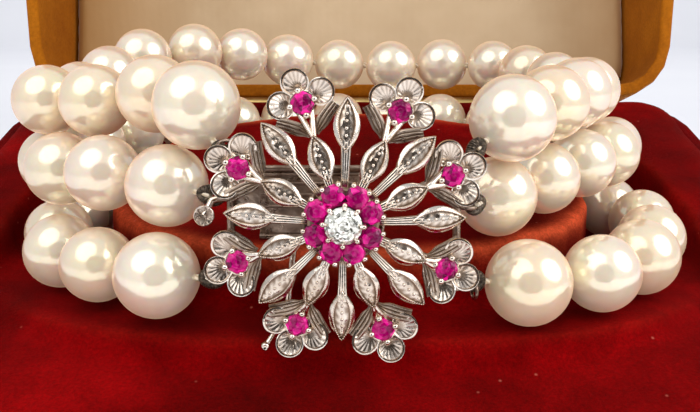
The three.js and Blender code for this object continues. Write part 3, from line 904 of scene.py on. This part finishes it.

# %% [markdown]
# ## The stones
#
# A round stone is cut in rings of flat facets: a pavilion that comes to a point below, a thin girdle, and a
# crown up to the table. Turning each ring by half a step, and splitting its faces in two, gives the kites
# and triangles of a real cut. A clear stone shows its back facets through the table. These are opaque, so
# the same facets are cut into the table, as a very low star. All are shaded flat. Small cones of bump stand
# for the glints that come back from inside. The colour is painted in patches of dark, middle and bright, as
# painted reflections from inside the stone, and a ruby's rings are painted deeper towards its table and its
# point, as painted shade in its dark middle.

# %% Cut a stone
def cut_stone(sides, radius, shades, *rings):
    """A stone cut in rings of radius and height, each turned by half a step from the one below."""
    first, height = rings[0]
    piece = disc("stone", sides, first * radius, height * radius)
    rises = [
        ((high - low) * radius, outer / inner, outer / inner, math.pi / sides if outer != inner else 0)
        for (inner, low), (outer, high) in zip(rings, rings[1:])
    ]
    darken_rings(climbed(piece, rises), sides, *shades)
    pick_faces(piece, lambda middle, normal: abs(normal.z) < 0.999)
    bpy.ops.mesh.quads_convert_to_tris()
    leave()
    bpy.ops.object.shade_flat()
    return piece


# %% Ruby and diamond
def stone_finish(name, facet, dark, middle, bright, deep, glint, depth, **polish):
    """A stone painted in patches of three shades as painted reflections, with glints of bump, and painted
    shade in its deep places.
    """
    finish = Finish(name, **polish)
    facets = finish.ramp(finish.cells(facet, output="Color"), dark, middle, bright)
    colour = finish.mix(finish.times(finish.attribute("hollow"), 0.75), facets, deep)
    return finish.wear(Base_Color=colour, Normal=finish.relief(finish.cells(glint), depth))


# Dark, middle and bright patches of painted reflection inside the ruby.
ruby_shades = (0.15, (0.09, 0.0, 0.03)), (0.50, (0.40, 0.0, 0.12)), (0.85, (0.85, 0.008, 0.31))
ruby_polish = {"Roughness": 0.05, "IOR": 1.5, "Coat_Weight": 0.25, "Coat_Roughness": 0.02}
ruby_polish["Specular_Tint"] = (1.0, 0.55, 0.8)
ruby = stone_finish("Ruby", 1900, *ruby_shades, (0.14, 0.0, 0.045), 1700, 0.15 * MM, **ruby_polish)

# Dark, middle and bright patches of painted reflection, as a diamond's flashes.
clear_shades = (0.20, (0.14, 0.14, 0.12)), (0.40, (0.66, 0.66, 0.58)), (0.65, (1.0, 0.99, 0.92))
clear_polish = {"Roughness": 0.02, "IOR": 2.2, "Coat_Weight": 1.0, "Coat_Roughness": 0.0, "Metallic": 0.6}
diamond = stone_finish("Diamond", 3900, *clear_shades, SOOT_AND_SHADE, 2600, 0.11 * MM, **clear_polish)

# %% Set the rubies
RUBY_CUT = ((0.08, -0.75), (0.98, 0.0), (0.98, 0.06), (0.78, 0.30), (0.50, 0.40), (0.26, 0.37), (0.05, 0.41))
# How deep each ring is painted, from the point up: painted shade in the ruby's dark middle.
RUBY_SHADES = (0.5, 0.2, 0.2, 0.0, 0.6, 1.0, 0.7)
INNER_RUBY = 1.05
INNER_RING = 2.48
INNER_HEIGHT = 2.3

stone = cut_stone(8, 1.0, RUBY_SHADES, *RUBY_CUT)
parts = []
for turn, reach in FLORETS:
    parts.append(copied(stone, on_bench(polar(reach, turn, FLORET_HEIGHT + 0.02), turn, 0, RUBY_RADIUS)))
    at = polar(INNER_RING, turn, INNER_HEIGHT)
    parts.append(copied(stone, on_bench(at, turn, math.radians(-6), INNER_RUBY)))
drop(stone)
stood_up("rubies", parts, ruby, "ruby")
print("Set", len(parts), "rubies")

# %% Set the diamond
DIAMOND_CUT = (
    (0.06, -0.80), (0.55, -0.40), (0.99, 0.0), (0.99, 0.05), (0.84, 0.18),
    (0.68, 0.28), (0.54, 0.33), (0.38, 0.29), (0.22, 0.34), (0.06, 0.30),
)
DIAMOND_RADIUS = 1.58
DIAMOND_HEIGHT = 3.2

stone = cut_stone(16, DIAMOND_RADIUS, (0.0,), *DIAMOND_CUT)
stone.data.transform(Matrix.Translation((0, 0, DIAMOND_HEIGHT)))
stood_up("centre_diamond", [stone], diamond, "diamond")

# %% [markdown]
# ## The middle's mount
#
# The rubies and the diamond stand on a turned mount. Sixteen small balls hold the rubies from outside.
# Eight tall claws rise between the rubies and curve over the diamond's edge, each with a ball at its bend.

# %% Turn the mount and its claws
MOUNT = (
    (1.3, -3.2), (1.8, 0.6), (2.9, 1.3), (3.0, 1.6), (2.8, 1.8),
    (1.6, 1.9), (1.45, 2.7), (1.3, 2.9), (0.9, 2.85),
)
CLAW_WAY = ((1.55, 2.0), (1.74, 3.0), (1.66, 3.44), (1.32, 3.58))
CLAW_WIRE = (0.27, 0.13)
OUTER_CLAW = math.radians(42)
BETWEEN = math.radians(22.5)
OUTER_BALL = 0.23
CLAW_BEND = (1.68, 3.42)  # how far out and how high a tall claw's ball is

mount = turned("mount", 32, *MOUNT)
# The mount is painted nearly all dark, partly as grime and partly as painted shade under the stones.
darken_rings(mount, 32, 0.9)
parts = [softened(mount, 0.04, 2, 30)]
for turn, _ in FLORETS:
    way = [polar(radius, turn + BETWEEN, height) for radius, height in CLAW_WAY]
    parts.append(wire("claw", way, *CLAW_WIRE, sides=3))
    ruby_at = polar(INNER_RING, turn, INNER_HEIGHT)
    balls = [polar(CLAW_BEND[0], turn + BETWEEN, CLAW_BEND[1])]
    balls += [ruby_at + polar(INNER_RUBY, turn + side, 0.2) for side in (-OUTER_CLAW, OUTER_CLAW)]
    parts += [copied(claw_master, on_bench(at, turn, 0.15, OUTER_BALL)) for at in balls]
drop(claw_master)
stood_up("clasp_middle", parts, white_gold)
print("Turned the mount with", len(FLORETS), "tall claws and", 2 * len(FLORETS), "small balls")

# %% [markdown]
# ## Behind the flower
#
# A hoop round the mount, small enough to hide behind the rubies, carries the stems on struts. Behind it is
# the box that catches the tongue, stiffened by two bars. On each side a bar carries the three rings that
# the gimp loops hang on. The right bar's two stays run behind short leaves, where they don't show.

# %% Bend the hoop, the bars and the rings
HOOP_RADIUS = 3.3
HOOP_HEIGHT = 0.3
HOOP_WIRE = 0.2
STRUT_WIRE = 0.24
STAY_WIRE = 0.3
BAR_WIRE = 0.36
BAR_X, BAR_Z = 10.0, -3.4
BAR_ENDS = (5.8, -6.6)
RING_RADIUS = 0.62
RING_WIRE = 0.17
CATCH_LOW = (-7.4, -1.7, -5.4)
CATCH_HIGH = (1.4, 4.3, -2.9)
BENCH = (STAND_UP @ TO_METRES).inverted()


def hoop(name, radius, thickness, place, around, sides):
    bpy.ops.mesh.primitive_torus_add(
        major_radius=radius, minor_radius=thickness, major_segments=around, minor_segments=sides
    )
    piece = added(name)
    piece.data.transform(place)
    return smooth(piece, 60)


def strand_ring(loop):
    """A ring through the near end of a packed gimp loop, square to the loop's own plane."""
    middle, long_axis, short_axis = loop_of(loop)
    middle, long_axis, short_axis = BENCH @ middle, BENCH.to_3x3() @ long_axis, BENCH.to_3x3() @ short_axis
    if long_axis.x * middle.x > 0:
        long_axis = -long_axis
    toward, across = long_axis.normalized(), short_axis.normalized()
    turn = Matrix((toward, across.cross(toward), across)).transposed().to_4x4()
    return hoop("ring", RING_RADIUS, RING_WIRE, Matrix.Translation(middle + long_axis) @ turn, 24, 8)


def side_bar(side, x):
    """The bar that carries one side's rings."""
    pieces = [wire("bar", [(x, y, BAR_Z) for y in BAR_ENDS], BAR_WIRE)]
    return pieces + [strand_ring(f"gimp_{row}_{side}") for row in ROWS]


parts = [hoop("hoop", HOOP_RADIUS, HOOP_WIRE, Matrix.Translation((0, 0, HOOP_HEIGHT)), 64, 10)]
for turn, _ in LONG_LEAVES:
    way = [polar(HOOP_RADIUS, turn, HOOP_HEIGHT), polar(HOOP_RADIUS + 1.0, turn, 1.0)]
    parts.append(wire("strut", way, STRUT_WIRE, sides=3))
for y in (CATCH_LOW[1], CATCH_HIGH[1]):
    ends = [(x, y, CATCH_HIGH[2]) for x in (CATCH_LOW[0], CATCH_HIGH[0])]
    parts.append(wire("cross_bar", ends, STAY_WIRE))
parts += side_bar("right", BAR_X)
for turn in (FLORETS[0][0], FLORETS[-1][0]):
    way = [polar(HOOP_RADIUS, turn, HOOP_HEIGHT), (BAR_X, BAR_X * math.tan(turn), BAR_Z)]
    parts.append(wire("stay", way, STAY_WIRE, sides=3))
stood_up("clasp_gallery", parts, cast_gold_in_shade)

# %% Build the catch box and the safety pin
CATCH_WALL = 0.5
RIB_WIRE = 0.16
RIB_HEIGHTS = (1.0, 2.0, 3.0, 3.8)
RIB_ENDS = (-7.3, 1.3)
SAFETY_PIN = ((-4.3, -1.7, -2.9), (-5.0, -8.6, -1.8), (-6.75, -10.9, -0.3))
PIN_WIRE = (0.3, 0.26)
PIN_BALL = ((0.13, -0.42), (0.33, -0.3), (0.43, 0.0), (0.33, 0.3), (0.22, 0.36), (0.12, 0.3))
EDGE = 0.08  # how far the box's and the tongue's edges are rounded


def block(name, low, high):
    """A block between two corners."""
    size = [b - a for a, b in zip(low, high)]
    bpy.ops.mesh.primitive_cube_add(size=1, location=[(a + b) / 2 for a, b in zip(low, high)], scale=size)
    return added(name)


box = block("catch_box", CATCH_LOW, CATCH_HIGH)
pick_faces(box, lambda middle, normal: normal.x < -0.9)
bpy.ops.mesh.inset(thickness=CATCH_WALL)
depth = CATCH_HIGH[0] - CATCH_LOW[0] - CATCH_WALL
bpy.ops.mesh.extrude_region_move(TRANSFORM_OT_translate={"value": (depth, 0, 0)})
parts = [softened(close_up(box), EDGE)]
for y in RIB_HEIGHTS:
    parts.append(wire("rib", [(x, y, CATCH_HIGH[2]) for x in RIB_ENDS], RIB_WIRE, sides=3))
stood_up("clasp_catch_box", parts, cast_gold_in_shade)

pin = wire("pin", SAFETY_PIN, *PIN_WIRE)
ball = turned("ball", 20, *PIN_BALL)
ball.data.transform(Matrix.Translation(SAFETY_PIN[-1]))
stood_up("clasp_safety_pin", [pin, smooth(ball, 50)], white_gold)
print("Built the catch box with", len(RIB_HEIGHTS), "ribs, and the safety pin")

# %% [markdown]
# ## The tongue
#
# The tongue is a folded strip that springs open inside the catch box. Its left end carries the other three
# rings and a small disc that the thumb presses, whose top is roughened for grip.

# %% Fold the tongue
THUMB = (-12.2, 0.2, -2.4)
THUMB_DISC = ((0.7, -0.25), (0.9, -0.2), (0.92, 0.15), (0.84, 0.25), (0.78, 0.22), (0.2, 0.14))
LEVER_WIRE = 0.33
FREE = CATCH_WALL + 0.3  # how far inside the catch box's outside the tongue keeps
FOLD = 0.06  # the gap between the tongue's two leaves
GRIP = 0.04  # how far the thumb disc's top is roughened

low = (-BAR_X, CATCH_LOW[1] + FREE, CATCH_LOW[2] + FREE)
high = tuple(c - FREE for c in CATCH_HIGH)
fold = (low[2] + high[2]) / 2
under_leaf = block("under_leaf", low, (high[0], high[1], fold - FOLD))
upper_leaf = block("upper_leaf", (low[0], low[1], fold), high)
parts = [softened(under_leaf, EDGE), softened(upper_leaf, EDGE), *side_bar("left", -BAR_X)]
thumb = turned("disc", 28, *THUMB_DISC)
# The underside and the sunk top are painted darker, partly as grime and partly as painted shade.
darken_rings(thumb, 28, 0.5, 0.0, 0.0, 0.0, 0.5)
pick_faces(thumb, lambda middle, normal: normal.z > 0.6 and middle.xy.length < 0.8)
bpy.ops.mesh.subdivide(number_cuts=3)
bpy.ops.transform.vertex_random(offset=GRIP, normal=1.0, uniform=0.0, seed=2)
leave()
softened(thumb, 0.03)
thumb.data.transform(Matrix.Translation(THUMB))
lever = wire("lever", [(-BAR_X, 1.9, BAR_Z), (-11.6, 1.5, -2.9), THUMB], LEVER_WIRE)
stood_up("clasp_thumb_disc", [thumb, lever], white_gold)
stood_up("clasp_tongue_leaf", parts, cast_gold_in_shade, "white_gold", "clasp_tongue")
print("Folded the tongue")

# %% [markdown]
# ## Velvet, suede and satin
#
# Velvet is a pile of short upright threads. It is dark where one looks down into it and paler where it is
# seen from the side, which the shader's sheen gives. On the crests the pile is worn thin and orange, and it
# catches lint; that orange is painted brighter than wear alone would make it, as a painted highlight where
# the crests catch the light. The crests are found on the mesh itself: a point that stands further out than
# its smoothed neighbours lies on a crest. Suede is a shorter nap, and satin a smooth weave.

# %% Velvet
napped = Finish(
    "Red velvet",
    Roughness=0.9,
    Specular_IOR_Level=0.03,
    Sheen_Weight=0.10,
    Sheen_Roughness=0.4,
    Sheen_Tint=(1.0, 0.05, 0.03),
)
nap = napped.ramp(
    napped.grain(55, 5.0, 0.62),
    (0.3, (0.05, 0.0, 0.0)),
    (0.5, (0.15, 0.0, 0.0005)),
    (0.7, (0.32, 0.001, 0.002)),
)
patchy = napped.ramp(napped.grain(420, 6.0, 0.75), (0.40, 0.0), (0.66, 1.0))
patchy = napped.ramp(patchy, (0.0, 0.6), (1.0, 1.0))
# Crests are painted orange: worn pile, and a painted highlight where they catch the light.
colour = napped.mix(napped.times(napped.attribute("wear"), patchy), nap, (0.88, 0.125, 0.042))
colour = napped.mix(1.0, colour, napped.clouds(0.62, 1.25, 3400, 5.0, 0.7), "MULTIPLY")
lint = napped.ramp(napped.cells(330), (0.0, 1.0), (0.065, 0.0))
colour = napped.mix(napped.times(lint, 0.7), colour, (0.62, 0.16, 0.11))
fuzz = napped.relief(napped.grain(3200, 6.0, 0.8), 0.25 * MM)
fuzz = napped.relief(napped.grain(300, 4.0), 0.3 * MM, 0.6, fuzz)
velvet = napped.wear(Base_Color=colour, Normal=fuzz)

# %% Suede
brushed = Finish(
    "Ochre suede",
    Roughness=0.9,
    Specular_IOR_Level=0.1,
    Sheen_Weight=0.12,
    Sheen_Roughness=0.5,
    Sheen_Tint=(1.0, 0.55, 0.15),
)
nap = brushed.clouds((0.27, 0.069, 0.0015), (0.44, 0.138, 0.005), 90, 5.0, 0.65)
colour = brushed.mix(1.0, nap, brushed.clouds(0.75, 1.15, 2200, 5.0, 0.7), "MULTIPLY")
suede = brushed.wear(Base_Color=colour, Normal=brushed.relief(brushed.grain(2600, 6.0, 0.8), 0.18 * MM))

# %% Satin and brass
woven = Finish("Cream satin", Roughness=0.48, Sheen_Weight=0.4, Sheen_Roughness=0.3, Anisotropic=0.4)
tone = woven.clouds((0.45, 0.31, 0.165), (0.57, 0.42, 0.25), 70)
# Towards the sides the satin is painted golden-brown: painted shade and a painted reflection of the suede.
tone = woven.mix(woven.attribute("ochre_shade"), tone, (0.40, 0.22, 0.07))
threads = woven.bands("X", 1500.0)
colour = woven.mix(1.0, tone, woven.ramp(threads, (0.0, 0.93), (1.0, 1.0)), "MULTIPLY")
weave = woven.relief(woven.grain(160), 0.5 * MM, 0.4, woven.relief(threads, 0.02 * MM))
satin = woven.wear(Base_Color=colour, Normal=weave)

worn_metal = Finish("Brass", Metallic=1.0)
colour = worn_metal.clouds((0.42, 0.27, 0.09), (0.72, 0.53, 0.22), 300, 4.0)
brass = worn_metal.wear(Base_Color=colour, Roughness=worn_metal.clouds(0.25, 0.5, 900, 4.0))
print("Made", velvet.name, "and", suede.name, "and", satin.name, "and", brass.name)

# %% [markdown]
# ## The velvet pad
#
# The pad is velvet stretched over a stiff former: a padded rim that slopes to the front, a ledge round the
# bracelet, and the cushion inside it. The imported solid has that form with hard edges. A copy of it is
# remeshed finely, its edges are rounded by smoothing, and slow lumps are pressed in, as stuffing makes.

# %% Upholster the pad
PAD_VOXEL = 0.75 * MM
PAD_ROUNDS = 13
LUMPS = 0.25 * MM
CREST = 0.2 * MM  # a point this far outside its smoothed neighbours is fully worn and fully painted lit
CREST_ROUNDS = 14
CUSHION_MIDDLE = (0.0, 2 * MM)
CUSHION_HALF = (27.5 * MM, 21.3 * MM)
CUSHION_EDGE = (1.03, 1.12)  # the wear and painted highlight fade between these shares of the cushion's half size
LEDGE_WEAR_AND_LIGHT = 0.03  # outside the bracelet the pad is rubbed, and painted lit, this much as hard as the cushion inside it


def own_copy(node, name):
    """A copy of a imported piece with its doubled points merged, ready to be modelled further."""
    piece = copied(nodes[node], name=name)
    for key in list(piece.keys()):
        del piece[key]
    piece.parent = None
    piece.hide_render = False
    pick_faces(piece)
    bpy.ops.mesh.remove_doubles(threshold=0.001 * MM)
    leave()
    return piece


def places(piece):
    co = np.zeros(len(piece.data.vertices) * 3, np.float32)
    piece.data.vertices.foreach_get("co", co)
    return co.reshape(-1, 3)


def normals_of(piece):
    return np.array([tuple(v.normal) for v in piece.data.vertices], np.float32)


def stuffed(node, name, voxel, rounds, depth, size, seed):
    """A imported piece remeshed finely, with its edges smoothed round and slow lumps pressed into it."""
    piece = own_copy(node, name)
    piece.data.remesh_voxel_size = voxel
    bpy.ops.object.voxel_remesh()
    modified(piece, "SMOOTH", factor=0.5, iterations=rounds)
    spots = places(piece)
    shift = Vector((seed, 0, 0))
    rise = np.array([noise.noise(Vector(spot) / size + shift) for spot in spots.tolist()], np.float32)
    spots += normals_of(piece) * (depth * rise)[:, None]
    piece.data.vertices.foreach_set("co", spots.ravel())
    piece.data.update()
    return smooth(piece, 80)


def crests(piece):
    """How far each point stands out from its smoothed neighbours, from 0 to 1, mostly on the cushion."""
    flattened = copied(piece)
    modified(flattened, "SMOOTH", factor=0.5, iterations=CREST_ROUNDS)
    out = ((places(piece) - places(flattened)) * normals_of(piece)).sum(axis=1)
    drop(flattened)
    from_cushion = np.linalg.norm((places(piece)[:, :2] - CUSHION_MIDDLE) / CUSHION_HALF, axis=1)
    return np.clip(out / CREST, 0, 1) * np.interp(from_cushion, CUSHION_EDGE, (1.0, LEDGE_WEAR_AND_LIGHT))


pad = stuffed("velvet_pad", "velvet_pad_cover", PAD_VOXEL, PAD_ROUNDS, LUMPS, 9 * MM, 3)
worn_and_lit = crests(pad)
stored(pad, "wear", worn_and_lit)
finished(pad, "base", velvet, "pad_velvet", "velvet_pad")
print("The pad has", len(pad.data.polygons), "faces, and", round(100 * (worn_and_lit > 0.5).mean()), "% is worn")

# %% [markdown]
# ## The box and its lid
#
# The shells are board covered in fabric: red velvet below, and ochre suede over the lid. Their corners are
# rounded with a bevel. The lid holds a board padded with cream satin. Towards its sides, and more so on the
# left, the satin is painted golden-brown, as painted shade and a painted reflection of the ochre suede.

# %% Cover the shells
for node, cover, body, slot in (
    ("box_base", velvet, "base", "red_velvet"),
    ("lid_shell", suede, "lid", "ochre_suede"),
):
    shell = own_copy(node, f"{node}_cover")
    softened(shell, 0.8 * MM, 3, 30)
    finished(shell, body, cover, slot, node)
    print("Covered", node, "with", cover.name)

# %% Pad the lid with satin
SATIN_VOXEL = 0.8 * MM
SATIN_ROUNDS = 6
SATIN_LUMPS = 0.2 * MM
# Where the painted shade and reflected ochre run across the panel, from left to right.
OCHRE_SHADE_FROM = (-50 * MM, -26 * MM, 34 * MM, 50 * MM)

panel = stuffed("lid_panel", "lid_panel_satin", SATIN_VOXEL, SATIN_ROUNDS, SATIN_LUMPS, 12 * MM, 8)
# Stores the painted shade and reflected ochre, fullest on the left side.
stored(panel, "ochre_shade", np.interp(places(panel)[:, 0], OCHRE_SHADE_FROM, (1.0, 0.0, 0.0, 0.5)))
finished(panel, "lid", satin, "cream_satin", "lid_panel")
print("The satin panel has", len(panel.data.polygons), "faces")

# %% [markdown]
# ## The hinge
#
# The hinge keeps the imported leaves, and gets a round barrel over each knuckle's flat sides. The barrels are
# chamfered, and stop short of each other so that the lid turns freely.

# %% Finish the hinge
CHAMFER = 0.2 * MM
PLAY = 0.15 * MM
LID_KNUCKLE = 10 * MM  # how far the lid's knuckle reaches to each side of the middle

leaf_low, leaf_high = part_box("hinge_base_leaf")
barrel = (leaf_high.y - leaf_low.y) / 2
hinge_pin = (0, leaf_high.y - barrel, leaf_high.z - barrel)


def knuckle(left, right):
    """A round barrel along the hinge's pin that stops short of two places across the box."""
    left, right = left + PLAY, right - PLAY
    end = barrel - CHAMFER
    sides = (barrel, left + CHAMFER), (barrel, right - CHAMFER)
    piece = turned("knuckle", 32, (end, left), *sides, (end, right))
    piece.data.transform(Matrix.Translation(hinge_pin) @ Matrix.Rotation(math.pi / 2, 4, "Y"))
    return smooth(piece, 30)


for node in ("hinge_base_leaf", "hinge_lid_leaf"):
    nodes[node].data.materials.clear()
    nodes[node].data.materials.append(brass)
base_knuckles = [knuckle(leaf_low.x, -LID_KNUCKLE), knuckle(LID_KNUCKLE, leaf_high.x)]
finished(joined("hinge_base_barrels", base_knuckles), "base", brass, "brass")
finished(knuckle(-LID_KNUCKLE, LID_KNUCKLE), "lid", brass, "brass").name = "hinge_lid_barrel"
print("Turned three hinge barrels, each", round(2 * barrel / MM, 1), "mm across")

# %% [markdown]
# ## The table and the light
#
# The box stands on a plain pale table, which curves up behind it with no corner. A large soft light hangs
# over the viewer's left shoulder, as a window would, with a smaller one to the right, and a third lights
# the curve of the table. A low warm light in front fills the shadows under the pearls, and is kept out of
# reflections. Metal and pearl show what they mirror, so a dark card behind the viewer's eye stands for the
# camera and the hands that hold it.

# %% Set the table and the lights
SWEEP_BACK = 1.2  # how far behind the box the table curves up
SWEEP_CURVE = 0.25
CLASP_AIM = (0, -0.01, 0.028)

bpy.ops.mesh.primitive_plane_add(size=2 * SWEEP_BACK)
table = added("table")
bpy.ops.object.mode_set(mode="EDIT")
bpy.ops.mesh.select_mode(type="EDGE")
bpy.ops.mesh.select_all(action="DESELECT")
leave()
for edge in table.data.edges:
    edge.select = all(table.data.vertices[i].co.y > 0 for i in edge.vertices)
bpy.ops.object.mode_set(mode="EDIT")
bpy.ops.mesh.extrude_region_move(TRANSFORM_OT_translate={"value": (0, 0, SWEEP_BACK)})
leave()
modified(table, "BEVEL", width=SWEEP_CURVE, segments=12, limit_method="ANGLE")
smooth(table, 60)
pale = Finish("Pale table", Roughness=0.6)
table.data.materials.append(pale.wear(Base_Color=pale.clouds((0.87, 0.87, 0.90), (0.91, 0.91, 0.93), 6)))


def soft_light(name, place, aim, size, power, colour=(1, 1, 1)):
    """A round light of this size in metres that looks from its place to its aim."""
    bpy.ops.object.light_add(type="AREA", location=place)
    light = bpy.context.object
    light.name = name
    light.data.shape = "DISK"
    light.data.size = size
    light.data.energy = power
    light.data.color = colour
    light.rotation_euler = (Vector(aim) - Vector(place)).to_track_quat("-Z", "Y").to_euler()
    return light


soft_light("window", (-0.22, -0.26, 0.42), CLASP_AIM, 0.56, 1.15, (1.0, 0.99, 0.97))
soft_light("right_card", (0.36, -0.16, 0.30), CLASP_AIM, 0.44, 1.4)
soft_light("wall_light", (0, 0.4, 0.7), (0, SWEEP_BACK, 0.35), 0.4, 2.7, (1.0, 0.98, 0.97))
fill = soft_light("front_fill", (0, -0.45, 0.03), CLASP_AIM, 0.40, 1.3, (1.0, 0.93, 0.84))
fill.visible_glossy = False

# %% Hang the dark card
CARD_RADIUS = 0.065
CARD_BEHIND = 0.03  # how far behind the viewer's eye it hangs

bpy.ops.mesh.primitive_circle_add(
    vertices=32,
    radius=CARD_RADIUS,
    fill_type="NGON",
    location=CAMERA_PLACE + Vector((0, -math.cos(CAMERA_TIP), math.sin(CAMERA_TIP))) * CARD_BEHIND,
    rotation=(math.pi / 2 - CAMERA_TIP, 0, 0),
)
card = added("dark_card")
dull = Finish("Dark card", Roughness=0.9)
card.data.materials.append(dull.wear(Base_Color=dull.clouds((0.03, 0.022, 0.018), (0.05, 0.04, 0.032), 40)))
card.visible_camera = False
card.visible_shadow = False
card.visible_diffuse = False

# %% Light the room
world = bpy.data.worlds.new("Room")
bpy.context.scene.world = world
world.use_nodes = True
background = world.node_tree.nodes["Background"]
background.inputs["Color"].default_value = (0.90, 0.93, 1.0, 1)
background.inputs["Strength"].default_value = 0.66
bpy.context.scene.view_settings.view_transform = "Standard"
print("Lit the table")
